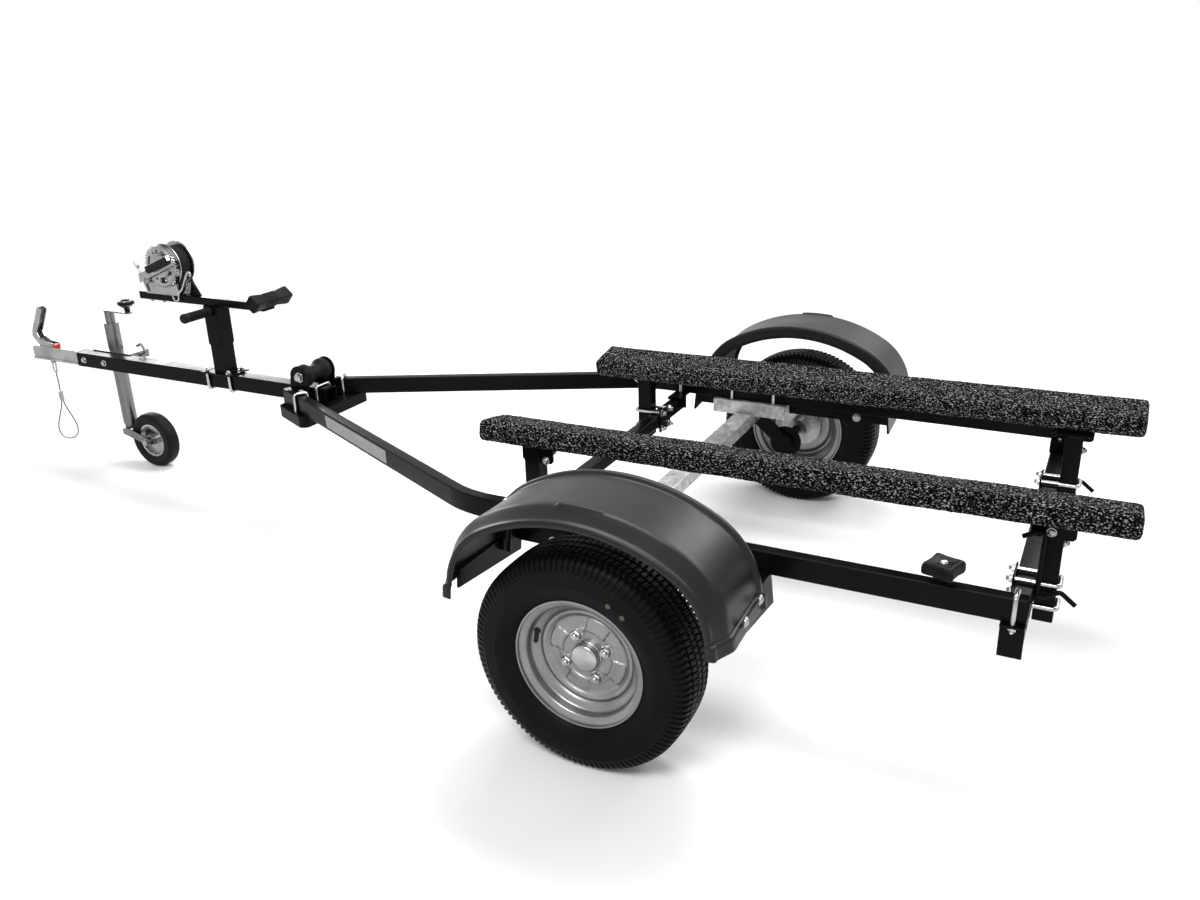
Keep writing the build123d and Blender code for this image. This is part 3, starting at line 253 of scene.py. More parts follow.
RED = plain("red_plastic", (0.5, 0.015, 0.012), 0.35)
WIRE = plain("wire_rope", grey(0.07), 0.4, 0.8)
YELLOW = plain("paint_mark", (0.05, 0.048, 0.025), 0.6)
# near-black finish of the keyhole sheet: painted shade where the wheel has a hole
PAINTED_HOLE_SHADE = plain("painted_hole_shade", grey(0.004), 0.9)

# CAD nodes that keep their shape: finish, edge rounding in millimetres, names
SHOWN = [
    (GALVANISED, 2, "axle_beam"),
    (GALVANISED, 1.2, "axle_channels"),
    (DULL, 0.6, "jockey_tube jockey_leg"),
    (DULL, 0.8, "jockey_fork"),
    (DULL, 1, "jockey_clamp"),
    (ZINC, 5, "coupling_body"),
    (ZINC, 1.5, "coupling_bolts"),
    (ZINC, 1.2, "coupling_lever"),
    (ZINC, 1, "jockey_rim hub_left hub_right"),
    (ZINC, 0.8, "winch_frame"),
    (ZINC, 0.6, "winch_crank safety_wire_fittings"),
    (BLACK, 4, "rail_left rail_right drawbar front_crossmember rear_crossmember"),
    (BLACK, 3, "front_posts rear_posts winch_post_sleeve winch_arm"),
    (BLACK, 2, "winch_post junction_plate"),
    (BLACK, 1.5, "swing_arms"),
    (BLACK, 1, "roller_cradle fender_stays"),
    (BLACK, 0.8, "front_crossmember_brackets rear_crossmember_brackets front_post_clamps "
                 "rear_post_clamps bunk_brackets_left bunk_brackets_right"),
    (BLACK, 0.5, "hook_rods"),
    (BLACK_RUBBER, 2, "jockey_tyre"),
    (BLACK_RUBBER, 1.5, "keel_roller"),
    (BLACK_PLASTIC, 2, "star_knobs"),
    (WEBBING, 0.5, "winch_strap"),
]
SHOWN_CREASE = 38               # degrees
WELD_REACH = 0.00002            # metres


def round_edges(piece, width, degrees):
    """Bevel the edges that turn by more than an angle."""
    bevel = piece.modifiers.new("rounding", "BEVEL")
    bevel.width = width * MM
    bevel.segments = 2
    bevel.limit_method = "ANGLE"
    bevel.angle_limit = math.radians(degrees)
    piece.modifiers.new("shading", "WEIGHTED_NORMAL")


for finish, rounding, names in SHOWN:
    for name in names.split():
        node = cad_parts[name]
        node.data.materials.clear()
        node.data.materials.append(finish)
        weld = node.modifiers.new("weld", "WELD")
        weld.merge_threshold = WELD_REACH
        round_edges(node, rounding, SHOWN_CREASE)


# ---- Mesh building ---------------------------------------
TIP_RADIUS = 0.01               # of a ring that closes an end


def polar(radius, angle):
    """The two offsets of a spot on a circle."""
    return radius * math.cos(angle), radius * math.sin(angle)


def circle(radius, count, centre=(0, 0)):
    spots = (polar(radius, TAU * k / count) for k in range(count))
    return [(centre[0] + u, centre[1] + v) for u, v in spots]


def smooth_step(value):
    value = min(max(value, 0.0), 1.0)
    return value * value * (3 - 2 * value)


def between(value, low, high, edge):
    """1 inside a range and 0 outside it, with soft edges."""
    return smooth_step((value - low) / edge) * smooth_step((high - value) / edge)


def rounded(corners, bend, steps=5):
    """Points along straight runs with an arc of radius bend at each corner."""
    corners = [Vector(c) for c in corners]
    points = [corners[0]]
    for before, here, after in zip(corners, corners[1:], corners[2:]):
        one, two = (before - here).normalized(), (after - here).normalized()
        half = one.angle(two) / 2
        reach = bend / math.tan(half)
        centre = here + (one + two).normalized() * (bend / math.sin(half))
        start, end = here + one * reach - centre, here + two * reach - centre
        turn = start.rotation_difference(end)
        points += [centre + Quaternion().slerp(turn, k / steps) @ start
                   for k in range(steps + 1)]
    points.append(corners[-1])
    return points


class Shape:
    """Points, in millimetre stations, and faces gathered for one joined mesh."""

    def __init__(self):
        self.points, self.faces = [], []

    def add(self, points, faces):
        """Join points, and faces that number them from 0."""
        base = len(self.points)
        self.points += points
        self.faces += [tuple(base + i for i in face) for face in faces]

    def grid(self, rows, loop_rows=False, loop_columns=False):
        """Faces between rows of points; either way round may close on itself."""
        count, width = len(rows), len(rows[0])
        faces = []
        for i in range(count if loop_rows else count - 1):
            a, b = i * width, (i + 1) % count * width
            for j in range(width if loop_columns else width - 1):
                k = (j + 1) % width
                faces.append((a + j, a + k, b + k, b + j))
        self.add([point for row in rows for point in row], faces)

    def cap(self, ring):
        self.add(ring, [range(len(ring))])

    def bar(self, rows, closed=False):
        """Skin over rings of points, with flat ends unless it closes on itself."""
        self.grid(rows, loop_rows=closed, loop_columns=True)
        if not closed:
            self.cap(rows[0][::-1])
            self.cap(rows[-1])

    def lathe(self, profile, centre, axis, segments=24, turn=0.0):
        """Turn (radius, height) points about an axis; a zero radius closes an end."""
        centre, axis = Vector(centre), Vector(axis).normalized()
        side = axis.orthogonal().normalized()
        spokes = [Quaternion(axis, turn + TAU * k / segments) @ side for k in range(segments)]
        rows = [[centre + axis * height + spoke * max(radius, TIP_RADIUS) for spoke in spokes]
                for radius, height in profile]
        self.grid(rows, loop_columns=True)
        for row, (radius, _) in ((rows[0][::-1], profile[0]), (rows[-1], profile[-1])):
            if radius > TIP_RADIUS:
                self.cap(row)

    def tube(self, points, radius, segments=14, closed=False):
        """Round bar along points."""
        points = [Vector(p) for p in points]
        count = len(points)
        rows, side = [], None
        for i, point in enumerate(points):
            before = points[i - 1] if closed or i else point
            after = points[(i + 1) % count] if closed or i < count - 1 else point
            along = (after - before).normalized()
            if side is None:
                side = along.orthogonal().normalized()
            side = (side - along * side.dot(along)).normalized()
            rows.append([point + (Quaternion(along, TAU * k / segments) @ side) * radius
                         for k in range(segments)])
        self.bar(rows, closed)

    def block(self, low, high, turn=None, centre=None):
        """Box between two corners; turned and moved to a centre where these are given."""
        low, high = Vector(low), Vector(high)
        middle = (low + high) / 2
        corners = []
        for z in (low.z, high.z):
            for x, y in ((low.x, low.y), (high.x, low.y), (high.x, high.y), (low.x, high.y)):
                offset = Vector((x, y, z)) - middle
                corners.append((centre or middle) + (turn @ offset if turn else offset))
        self.add(corners, ((3, 2, 1, 0), (4, 5, 6, 7), (0, 1, 5, 4), (1, 2, 6, 5),
                           (2, 3, 7, 6), (3, 0, 4, 7)))

    def plate(self, loops, spot):
        """Flat plate with holes: its outlines, and spot(u, v, face) for faces 0 and 1."""
        triangles = tessellate_polygon([[Vector((u, v, 0)) for u, v in loop] for loop in loops])
        corners = [pair for loop in loops for pair in loop]
        count = len(corners)
        faces = list(triangles)
        faces += [tuple(count + i for i in reversed(face)) for face in triangles]
        start = 0
        for loop in loops:
            size = len(loop)
            for k in range(size):
                a, b = start + k, start + (k + 1) % size
                faces.append((a, b, b + count, a + count))
            start += size
        self.add([spot(u, v, face) for face in (0, 1) for u, v in corners], faces)

    def twin(self):
        """Add the same pieces on the right-hand side."""
        self.add([Vector((p[0], -p[1], p[2])) for p in self.points],
                 [face[::-1] for face in self.faces])

    def build(self, name, finish, body, replaces=(), rounding=0.0, crease=35, slot=None):
        mesh = bpy.data.meshes.new(name)
        mesh.from_pydata([place(*p) for p in self.points], [], self.faces)
        work = bmesh.new()
        work.from_mesh(mesh)
        bmesh.ops.recalc_face_normals(work, faces=work.faces)
        work.to_mesh(mesh)
        work.free()
        mesh.shade_smooth()
        mesh.set_sharp_from_angle(angle=math.radians(crease))
        mesh.materials.append(finish)
        piece = new_object(name, mesh)
        if rounding:
            round_edges(piece, rounding, crease)
        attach(piece, body)
        if replaces:
            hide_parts(*replaces)
        return piece


def skin(rows, **closed):
    """Shape of one grid, closed in the ways round that are named."""
    shape = Shape()
    shape.grid(rows, **closed)
    return shape


def ribs(start, pitch, count, section):
    """Profile points of ribs in a row, from each one's radii and shares of the pitch."""
    return [(radius, start + pitch * (k + share)) for k in range(count)
            for radius, share in section]


# ---- Fasteners -------------------------------------------
BOLT_RADIUS = 5
NUT_RADIUS = 8.4
NUT_HEIGHT = 7
BOLT_TAIL = 6
THREAD_PITCH = 1.6
THREAD_ROOT = 0.88              # of the bolt's radius
U_BEND = 1.6 * BOLT_RADIUS
WASHER_RADIUS = 10
WASHER_SEAT = 1.4               # how high a nut or head stands on its washer


def nut(shape, centre, axis, radius=NUT_RADIUS, height=NUT_HEIGHT, bore=4.6, turn=0.3):
    """Chamfered hexagon standing on centre along axis."""
    shape.lathe([(radius * 0.9, 0), (radius, 0.12 * height), (radius, 0.86 * height),
                 (radius * 0.87, height), (bore, height)], centre, axis, 6, turn)


def washer(shape, centre, axis, radius=WASHER_RADIUS, thickness=1.6):
    shape.lathe([(radius - 0.4, 0), (radius, 0.4), (radius, thickness - 0.4),
                 (radius - 0.4, thickness)], centre, axis, 20)


def threaded(shape, start, end, radius):
    """Bar with ridges between two points."""
    start, end = Vector(start), Vector(end)
    along = end - start
    turns = max(2, round(along.length / THREAD_PITCH))
    profile = [(radius * (1.0 if k % 2 else THREAD_ROOT), along.length * k / (2 * turns))
               for k in range(2 * turns + 1)]
    shape.lathe(profile, start, along, 12)


def dome(shape, centre, axis, radius, height):
    """Round bolt head standing on centre."""
    profile = [(radius, 0)] + [(radius * math.cos(a), 0.8 + (height - 0.8) * math.sin(a))
                               for a in (0, 0.4, 0.8, 1.2, QUARTER)]
    shape.lathe(profile, centre, axis, 20)


def dome_on_washer(shape, spot, axis, washer_radius, radius, height, lift=WASHER_SEAT):
    washer(shape, spot, axis, washer_radius)
    dome(shape, Vector(spot) + axis * lift, axis, radius, height)


def nut_and_tail(shape, spot, axis, tail=BOLT_TAIL, radius=BOLT_RADIUS):
    """Washer, nut and the bolt's threaded end, standing on a plate."""
    spot, axis = Vector(spot), Vector(axis).normalized()
    washer(shape, spot, axis)
    nut(shape, spot + axis * WASHER_SEAT, axis, height=NUT_HEIGHT - 1.2)
    threaded(shape, spot + axis * (NUT_HEIGHT - 1), spot + axis * (NUT_HEIGHT + tail), radius)


def u_bolt(shape, origin, across, down, gap, clamped, hook=None):
    """Bent bolt over a tube of width gap, its legs down through a plate.

    Where hook is given, one leg ends at that depth and has no nut.
    """
    origin, across, down = Vector(origin), Vector(across).normalized(), Vector(down).normalized()
    near, far = across * -(gap / 2 + BOLT_RADIUS), across * (gap / 2 + BOLT_RADIUS)
    top, end = down * -BOLT_RADIUS, down * (clamped - 2)
    corners = [near + end, near + top, far + top, far + (end if hook is None else down * hook)]
    shape.tube(rounded([origin + corner for corner in corners], U_BEND), BOLT_RADIUS)
    for leg in (near, far) if hook is None else (near,):
        nut_and_tail(shape, origin + leg + down * clamped, down)


# ---- Tyres -----------------------------------------------
TREAD_PITCHES = 110
STEPS_PER_PITCH = 8
GROOVE_DEPTH = 6.5
GROOVE_SHARE = 0.3              # of the pitch
SIPE_DEPTH = 4.0
SIPE_SHARES = (0.2, 0.24)       # of the pitch, in the middle and second ribs
MIDDLE_SIPE = 0.7               # of the full depth
SIPE_LAG = 60                   # distance across in which a sipe slants by one pitch
RIB_EDGES = (13, 37)            # between the middle, second and outer ribs
SHOULDER_DEPTH = 5
SHOULDER_REACH = (206, 222)     # radii between which the shoulder grooves fade in
INWARD_REACH = (200, 242)       # radii between which they turn from the side to the tread
# radius and distance from the centre plane, bead to shoulder
SIDEWALL = [(140, 49.5), (146, 52.5), (149, 56.5), (151, 58.6), (154, 60.2), (157, 62.6),
            (163, 66.6), (172, 70.2), (180, 71.8), (184, 72.5), (186, 71.9), (192, 72.1),
            (200, 71.6), (207, 70.2), (209, 70.6), (211, 69.6), (216, 67.6), (222, 65.0),
            (227, 62.6), (232, 59.6), (236, 55.6), (238.4, 51.6)]
# distance from the centre plane, radius and whether the row lies in a round groove
TREAD = [(47, 239.8, 0), (41, 240.7, 0), (36.4, 241.1, 0), (35.8, 241.1, 1), (31.2, 241.3, 1),
         (30.6, 241.4, 0), (24, 241.7, 0), (17, 241.9, 0), (12.6, 242, 0), (12, 242, 1),
         (7.8, 242, 1), (7.2, 242, 0), (3.4, 242, 0)]


def wheel_spot(radius, angle, out, side=1):
    """Station at a radius and angle about the axle, out from a wheel's centre plane."""
    x, z = polar(radius, angle)
    return Vector((x, side * (WHEEL_Y + out), TYRE_RADIUS + z))


def shoulder_groove(step):
    return step % STEPS_PER_PITCH < STEPS_PER_PITCH * GROOVE_SHARE


def tread_cut(across, step):
    """Depth of the cross cuts at a distance from the centre plane."""
    phase = step % STEPS_PER_PITCH / STEPS_PER_PITCH + across / SIPE_LAG
    if abs(across) > RIB_EDGES[1]:
        return SIPE_DEPTH if shoulder_groove(step) else 0
    if abs(across) > RIB_EDGES[0]:
        return SIPE_DEPTH if phase % 1 < SIPE_SHARES[1] else 0
    return SIPE_DEPTH * MIDDLE_SIPE if (phase + 0.5) % 1 < SIPE_SHARES[0] else 0


def tyre_section(step):
    """Radius and offset along Y at one step, from the outer bead to the inner one."""
    def share(radius, reach):
        return smooth_step((radius - reach[0]) / (reach[1] - reach[0]))

    def tread(sign):
        return [(radius - (GROOVE_DEPTH if groove else tread_cut(sign * across, step)),
                 sign * across) for across, radius, groove in TREAD]

    wall = []
    for radius, across in SIDEWALL:
        cut = SHOULDER_DEPTH * share(radius, SHOULDER_REACH) if shoulder_groove(step) else 0
        inward = share(radius, INWARD_REACH)
        wall.append((radius - cut * inward, across - cut * (1 - inward)))
    return wall + tread(1) + tread(-1)[::-1] + [(r, -a) for r, a in reversed(wall)]


def tyre(side):
    count = TREAD_PITCHES * STEPS_PER_PITCH
    scale = TYRE_RADIUS / TREAD[-1][1]
    sections = [tyre_section(step) for step in range(STEPS_PER_PITCH)]
    rows = []
    for step in range(count):
        angle = TAU * step / count
        rows.append([wheel_spot(radius * scale, angle, across, side)
                     for radius, across in sections[step % STEPS_PER_PITCH]])
    return skin(rows, loop_rows=True)


for side, word in SIDES:
    tyre(side).build(f"tread_tyre_{word}", RUBBER, f"wheel_{word}", [f"tyre_{word}"], crease=32)

# ---- Wheels ----------------------------------------------
RIM_STEPS = 192
# the barrel's section, outboard lip first: radius, distance outboard of the centre plane
BARREL = [(139.4, 46), (138.6, 50), (139.6, 53.2), (141.6, 54), (143.4, 53.2), (144, 51),
          (143.6, 48.6), (141, 47.6), (138.6, 46.4), (131, 45.6), (127.6, 43.4), (126.8, 38),
          (126.6, 26), (125, 23), (112, 17.5), (107.8, 12), (107.6, -18), (110, -23),
          (124, -29), (127, -33), (127, -43.6), (131, -46.6), (140, -48), (144, -50.4),
          (143.4, -53.2), (140, -54), (138, -51), (136.4, -47.6), (124.6, -45), (123.4, -42),
          (123.2, -33), (120.6, -29), (107, -23), (104.4, -18), (104.2, 12), (106, 15.6),
          (112, 19.6), (119, 22.4), (122.6, 25.4), (123.4, 29), (123.6, 38), (125, 42.6),
          (129, 44.4), (135.6, 45.4)]
DISC_OFFSET = 8
DISC_THICKNESS = 4
DISC_RING = 1.6                 # width of the rings that carry the pads
# the disc's face from its bore to where it meets the well: radius, height
DISC_FACE = [(24.5, 1.2), (27, 0.4), (30, 0), (63, 0), (66, -0.6), (69, -1.2), (84, -1.2),
             (88, -0.6), (91, 1.4), (94, 4.2), (97, 5.8), (100, 6.2), (102.6, 5.6), (104.4, 4)]
PAD_HEIGHT, PAD_EDGE = 4, 3.2
PAD_RADII = (54, 88)
PAD_HALF_ANGLE = math.radians(24)
PAD_WIDENING = 0.45             # below 1 the pads widen less than their angle does
STUD_ANGLE = math.radians(64.8)
STUD_CIRCLE = 50
# radius and height of the cap and its collar above the disc's back, and of a nut's collar
CAP = [(30.6, 0), (30.7, 15), (30.5, 20), (28.8, 22.8), (25.4, 24.6), (0, 24.6)]
CAP_COLLAR = [(31.8, 4), (31.8, 7), (30.6, 8)]
LUG_COLLAR = [(13.2, 0), (13, 1.6), (11.2, 2.4)]
LUG_RADIUS, LUG_HEIGHT, LUG_BORE, LUG_LIFT = 11.8, 13, 6.4, 1.5
STUD_RADIUS, STUD_FROM, STUD_TO = 6, 10, 19.6


def pad(radius, angle):
    """Height of the raised pads pressed between the studs."""
    turn = (angle - STUD_ANGLE - TAU / 8) % QUARTER
    turn = min(turn, QUARTER - turn) * radius
    inner, outer = PAD_RADII
    half = PAD_HALF_ANGLE * (inner + PAD_WIDENING * (radius - inner))
    return PAD_HEIGHT * smooth_step(min(radius - inner, outer - radius, half - turn) / PAD_EDGE)


def rim(side):
    """Barrel, and a disc divided finely enough to carry its pads."""
    def rings(profile, relief=lambda radius, angle: 0):
        return [[wheel_spot(radius, angle, height + relief(radius, angle), side)
                 for angle in (TAU * k / RIM_STEPS for k in range(RIM_STEPS))]
                for radius, height in profile]

    face = []
    for (r0, h0), (r1, h1) in zip(DISC_FACE, DISC_FACE[1:]):
        steps = max(1, round((r1 - r0) / DISC_RING))
        face += [(r0 + (r1 - r0) * k / steps, h0 + (h1 - h0) * k / steps) for k in range(steps)]
    face = [(r, DISC_OFFSET + h) for r, h in face + DISC_FACE[-1:]]
    back = [(r, DISC_OFFSET + h - DISC_THICKNESS) for r, h in reversed(DISC_FACE)]
    shape = Shape()
    shape.grid(rings(BARREL), loop_rows=True, loop_columns=True)
    shape.grid(rings(face, pad) + rings(back), loop_rows=True, loop_columns=True)
    return shape


def wheel_fittings(side):
    """Cap, nuts and stud ends outside the disc."""
    shape = Shape()
    axis = ACROSS * side
    hub = Vector((0, side * (WHEEL_Y + DISC_OFFSET - DISC_THICKNESS), TYRE_RADIUS))
    shape.lathe(CAP, hub, axis, 48)
    shape.lathe(CAP_COLLAR, hub, axis, 48)
    for k in range(4):
        foot = wheel_spot(STUD_CIRCLE, STUD_ANGLE + k * QUARTER, DISC_OFFSET, side)
        shape.lathe(LUG_COLLAR, foot, axis, 24)
        nut(shape, foot + axis * LUG_LIFT, axis, LUG_RADIUS, LUG_HEIGHT, LUG_BORE)
        threaded(shape, foot + axis * STUD_FROM, foot + axis * STUD_TO, STUD_RADIUS)
    return shape


for side, word in SIDES:
    rim(side).build(f"pressed_rim_{word}", SILVER, f"wheel_{word}", [f"rim_{word}"], crease=50)
    wheel_fittings(side).build(f"wheel_fittings_{word}", BRIGHT, f"wheel_{word}")

# ---- Fenders ---------------------------------------------
FENDER_CENTRE_X = -15
CROWN_RADIUS, CROWN_HALF = 430, 215
SHOULDER_RADIUS = 180
END_TURN = math.radians(84)
FENDER_STEP = 4            # round the curves
FOOT_STEP = 3                   # down the straight feet
CUFF_RISE, CUFF_EDGE = 30, 4    # height of the thickened feet and of their soft edge
CUFF_SWELL, CUFF_SPREAD = 7, 3.4
CUFF_ACROSS = (800, 840)        # where they spread more and more
SWELL_FROM = -30                # skin points set deeper than this do not swell
FENDER_WALL = 3.4
BAR_STATION = (-70, 28)         # raised bar on the crown, along X
BAR_ACROSS = (792, 806)
BAR_HEIGHT, BAR_SLOPES = 4, (4, 2)              # slopes at its ends and along its sides
# cross-section: Y, then how far outside the crown line
FENDER_SKIN = [(612, -35), (612, -20), (612.2, -6), (613.4, -1.6), (616.6, 0.8), (621, 1.6),
               (625.6, 1.2), (629, -0.8), (631.6, -3.6), (635, -5.2), (641, -5.4), (660, -4.9),
               (690, -4.1), (720, -3.2), (748, -2.4), (766, -1.8), (777, -1.2), (785, -0.9),
               (790, -1), (795, -1.3), (799.6, -2.4), (803, -4), (808, -6.6), (814, -10),
               (820, -13.4), (826, -16.8), (830, -18.8), (833, -19.4), (837, -19.6),
               (839.8, -20.6), (841, -22.8), (841.4, -26), (841, -33)]


def heading(angle):
    """Direction in the side view, leaning forward from straight up."""
    return Vector((math.sin(angle), math.cos(angle)))


def fender_line(step):
    """Points of the side view with their outward directions, and the feet's height."""
    low, high = node_span("fender_left")
    lean = math.asin(CROWN_HALF / CROWN_RADIUS)
    centre = Vector((0, high.z - 1 - CROWN_RADIUS))
    shoulder = centre + heading(lean) * (CROWN_RADIUS - SHOULDER_RADIUS)
    line = []
    for middle, radius, start, end in ((centre, CROWN_RADIUS, 0, lean),
                                       (shoulder, SHOULDER_RADIUS, lean, END_TURN)):
        count = max(2, round(radius * (end - start) / step))
        for k in range(count):
            out = heading(start + (end - start) * k / count)
            line.append((middle + out * radius, out))
    out, down = heading(END_TURN), heading(END_TURN + QUARTER)
    end = shoulder + out * SHOULDER_RADIUS
    length = (end.y - low.z) / math.sin(END_TURN)
    count = max(2, round(length / FOOT_STEP))
    line += [(end + down * length * k / count, out) for k in range(count + 1)]
    rear = [(Vector((-p.x, p.y)), Vector((-o.x, o.y))) for p, o in line[:0:-1]]
    return [(Vector((p.x + FENDER_CENTRE_X, p.y)), o) for p, o in rear + line], low.z


def fender(side):
    line, foot_z = fender_line(FENDER_STEP)
    start, end = CUFF_ACROSS
    rows = []
    for spot, out in line:
        cuff = smooth_step((foot_z + CUFF_RISE - spot.y) / CUFF_EDGE)
        bar = BAR_HEIGHT * between(spot.x, *BAR_STATION, BAR_SLOPES[0])
        row = []
        for y, lift in FENDER_SKIN:
            if lift > SWELL_FROM:
                lift += cuff * CUFF_SWELL
            y += cuff * CUFF_SPREAD * smooth_step((y - start) / (end - start))
            point = spot + out * (lift + bar * between(y, *BAR_ACROSS, BAR_SLOPES[1]))
            row.append(Vector((point.x, side * y, point.y)))
        rows.append(row)
    return skin(rows)


for side, word in SIDES:
    piece = fender(side).build(f"moulded_fender_{word}", PLASTIC, "chassis", [f"fender_{word}"],
                               crease=60)
    wall = piece.modifiers.new("wall", "SOLIDIFY")
    wall.thickness = FENDER_WALL * MM
    wall.offset = -1

# ---- Bunks -----------------------------------------------
BUNK_SECTION = (122, 57)
BUNK_CORNER = 19
BUNK_TILT = math.radians(10.5)
BUNK_FALL = 10 / 1450
BUNK_END_ROUND = 12
END_SHARES = (0.0, 0.15, 0.35, 0.6, 0.85)       # sizes of the rings that close an end
BUNK_STEP = 2.6
PILE, PILE_SCALES = 1.5, (0.31, 0.75)           # height of the carpet's pile, its two noises
FINE_SHARE = 0.6                # of the finer one
SAG, SAG_SCALES = 1.6, (0.012, 0.03)            # broad unevenness, its scales along and across
SAG_LEVEL = 0.6
SIDE_SHIFT = 7                  # sets the two bunks' unevenness apart


def bunk_outline(step):
    """Rounded section: offsets across and up from its middle, with outward directions."""
    half_width, half_depth = (length / 2 - BUNK_CORNER for length in BUNK_SECTION)
    corners = [Vector(c) for c in ((half_width, half_depth), (-half_width, half_depth),
                                   (-half_width, -half_depth), (half_width, -half_depth))]
    turns = max(3, round(BUNK_CORNER * QUARTER / step))
    outline = []
    for i, corner in enumerate(corners):
        for k in range(turns + 1):
            out = Vector(polar(1, (i + k / turns) * QUARTER))
            outline.append((corner + out * BUNK_CORNER, out))
        run = corners[(i + 1) % 4] - corner
        count = round(run.length / step)
        outline += [(corner + run * k / count + out * BUNK_CORNER, out) for k in range(1, count)]
    return outline


def bunk(side, word):
    """Carpet over a tilted board that falls to the front, its two ends rounded."""
    low, high = node_span(f"bunk_{word}")
    middle = (low + high) / 2
    length = high.x - low.x
    outline = bunk_outline(BUNK_STEP)
    count = round(length / BUNK_STEP)
    stations = ([(low.x, share) for share in END_SHARES]
                + [(low.x + length * k / count, 1) for k in range(count + 1)]
                + [(high.x, share) for share in reversed(END_SHARES)])
    cos_tilt, sin_tilt = math.cos(BUNK_TILT), math.sin(BUNK_TILT)
    coarse, fine = PILE_SCALES
    along, across = SAG_SCALES
    rows = []
    for x, share in stations:
        inward = max(0, 1 - min(x - low.x, high.x - x) / BUNK_END_ROUND)
        tuck = BUNK_END_ROUND * (1 - math.sqrt(1 - inward * inward))
        z = middle.z - (x - middle.x) * BUNK_FALL
        row = []
        for spot, out in outline:
            u, v = spot * share
            pile = (noise.noise(Vector((x, u, v)) * coarse)
                    + FINE_SHARE * noise.noise(Vector((x, v, u)) * fine))
            wave = noise.noise(Vector((x * along + SIDE_SHIFT * side, u * across, v * across)))
            lift = (PILE * (pile - 1) + SAG * (wave - SAG_LEVEL) - tuck) * share
            u, v = u + out.x * lift, v + out.y * lift
            row.append(Vector((x, side * (abs(middle.y) + u * cos_tilt - v * sin_tilt),
                               z + u * sin_tilt + v * cos_tilt)))
        rows.append(row)
    return skin(rows, loop_columns=True)


for side, word in SIDES:
    bunk(side, word).build(f"carpet_bunk_{word}", CARPET, "chassis", [f"bunk_{word}"],
                           crease=180, slot="bunk_carpet")

# ---- U-bolts ---------------------------------------------
RAIL_WIDTH, RAIL_HEIGHT = 30, 50
DRAWBAR_WIDTH, POST_WIDTH = 50, 40
RAIL_TOP = node_span("rail_left")[1].z
RAIL_Y = node_span("rail_left")[1].y - RAIL_WIDTH / 2
RAIL_BEND_X, SPLAY = 431, math.radians(25.3)    # where and how far the rails turn inward
JUNCTION_X = 1315
BRACKET_WALL, CHANNEL_WALL = 4, 5
AXLE_BOLTS, HOOK_DROP = (20, 150), 34
POST_BOLT_GAP = 6               # from a crossmember to the bolts' middle
SLEEVE_BOLT_SHIFT = 48


def all_u_bolts():
    shape = Shape()
    for cross, toward in (("rear", 1), ("front", -1)):
        low, high = node_span(cross + "_crossmember")
        u_bolt(shape, ((low.x + high.x) / 2, RAIL_Y, RAIL_TOP), ACROSS, DOWN, RAIL_WIDTH,
               RAIL_HEIGHT + BRACKET_WALL)
        post_low, post_high = node_span(cross + "_posts")
        face = post_low.x if toward > 0 else post_high.x
        clamped = POST_WIDTH + high.x - low.x + BRACKET_WALL
        for z in (low.z - POST_BOLT_GAP, high.z + POST_BOLT_GAP):
            u_bolt(shape, (face, post_high.y - POST_WIDTH / 2, z), ACROSS, ALONG * toward,
                   POST_WIDTH, clamped)
    clamped = RAIL_HEIGHT + CHANNEL_WALL
    for x in AXLE_BOLTS:
        u_bolt(shape, (x, RAIL_Y, RAIL_TOP), ACROSS, DOWN, RAIL_WIDTH, clamped, hook=HOOK_DROP)
    shape.twin()
    y = RAIL_Y - math.tan(SPLAY) * (JUNCTION_X - RAIL_BEND_X)
    for side, _ in SIDES:
        across = (side * math.sin(SPLAY), math.cos(SPLAY), 0)
        u_bolt(shape, (JUNCTION_X, side * y, RAIL_TOP), across, DOWN, RAIL_WIDTH, clamped)
    u_bolt(shape, (JUNCTION_X, 0, RAIL_TOP), ACROSS, DOWN, DRAWBAR_WIDTH, clamped)
    middle = middle_of("winch_post").x
    for x in (middle - SLEEVE_BOLT_SHIFT, middle + SLEEVE_BOLT_SHIFT):
        u_bolt(shape, (x, 0, RAIL_TOP - RAIL_HEIGHT), ACROSS, UP, DRAWBAR_WIDTH, clamped)
    return shape


all_u_bolts().build("bent_u_bolts", BRIGHT, "chassis", ["u_bolts"], crease=40)

# ---- Rail knobs ------------------------------------------
KNOB_X, KNOB_TOP = -638, 474.5
RAIL_KNOB_REACH = 60
RAIL_KNOB_FULLNESS = 0.65       # below 1 the four sides are hollow
RAIL_KNOB_BLUNT = 0.015
RAIL_KNOB_TURN = math.radians(27.6)
RAIL_KNOB_STEPS = 80
# share of the lobed outline, height above the ground
RAIL_KNOB = [(0.82, 452), (0.95, 454), (1, 458), (1, 467), (0.98, 472), (0.92, 476), (0.82, 478),
             (0.7, 478), (0.6, 476.4), (0.52, 475), (0.01, 475)]


def knob_rings(foot, profile, reach, steps):
    """Level rings above foot; reach(size, angle) is the radius of one at an angle."""
    angles = [TAU * k / steps for k in range(steps)]
    return [[foot + Vector((*polar(reach(size, angle), angle), height)) for angle in angles]
            for size, height in profile]


def four_lobed(share, angle):
    spread = sum((part * part + RAIL_KNOB_BLUNT) ** (RAIL_KNOB_FULLNESS / 2)
                 for part in polar(1, angle - RAIL_KNOB_TURN))
    return share * RAIL_KNOB_REACH / spread ** (1 / RAIL_KNOB_FULLNESS)


def rail_knobs():
    """Broad four-lobed knobs with a dished top."""
    shape = Shape()
    rings = knob_rings(Vector((KNOB_X, RAIL_Y, 0)), RAIL_KNOB, four_lobed, RAIL_KNOB_STEPS)
    shape.grid(rings, loop_columns=True)
    shape.cap(rings[0][::-1])
    shape.twin()
    return shape


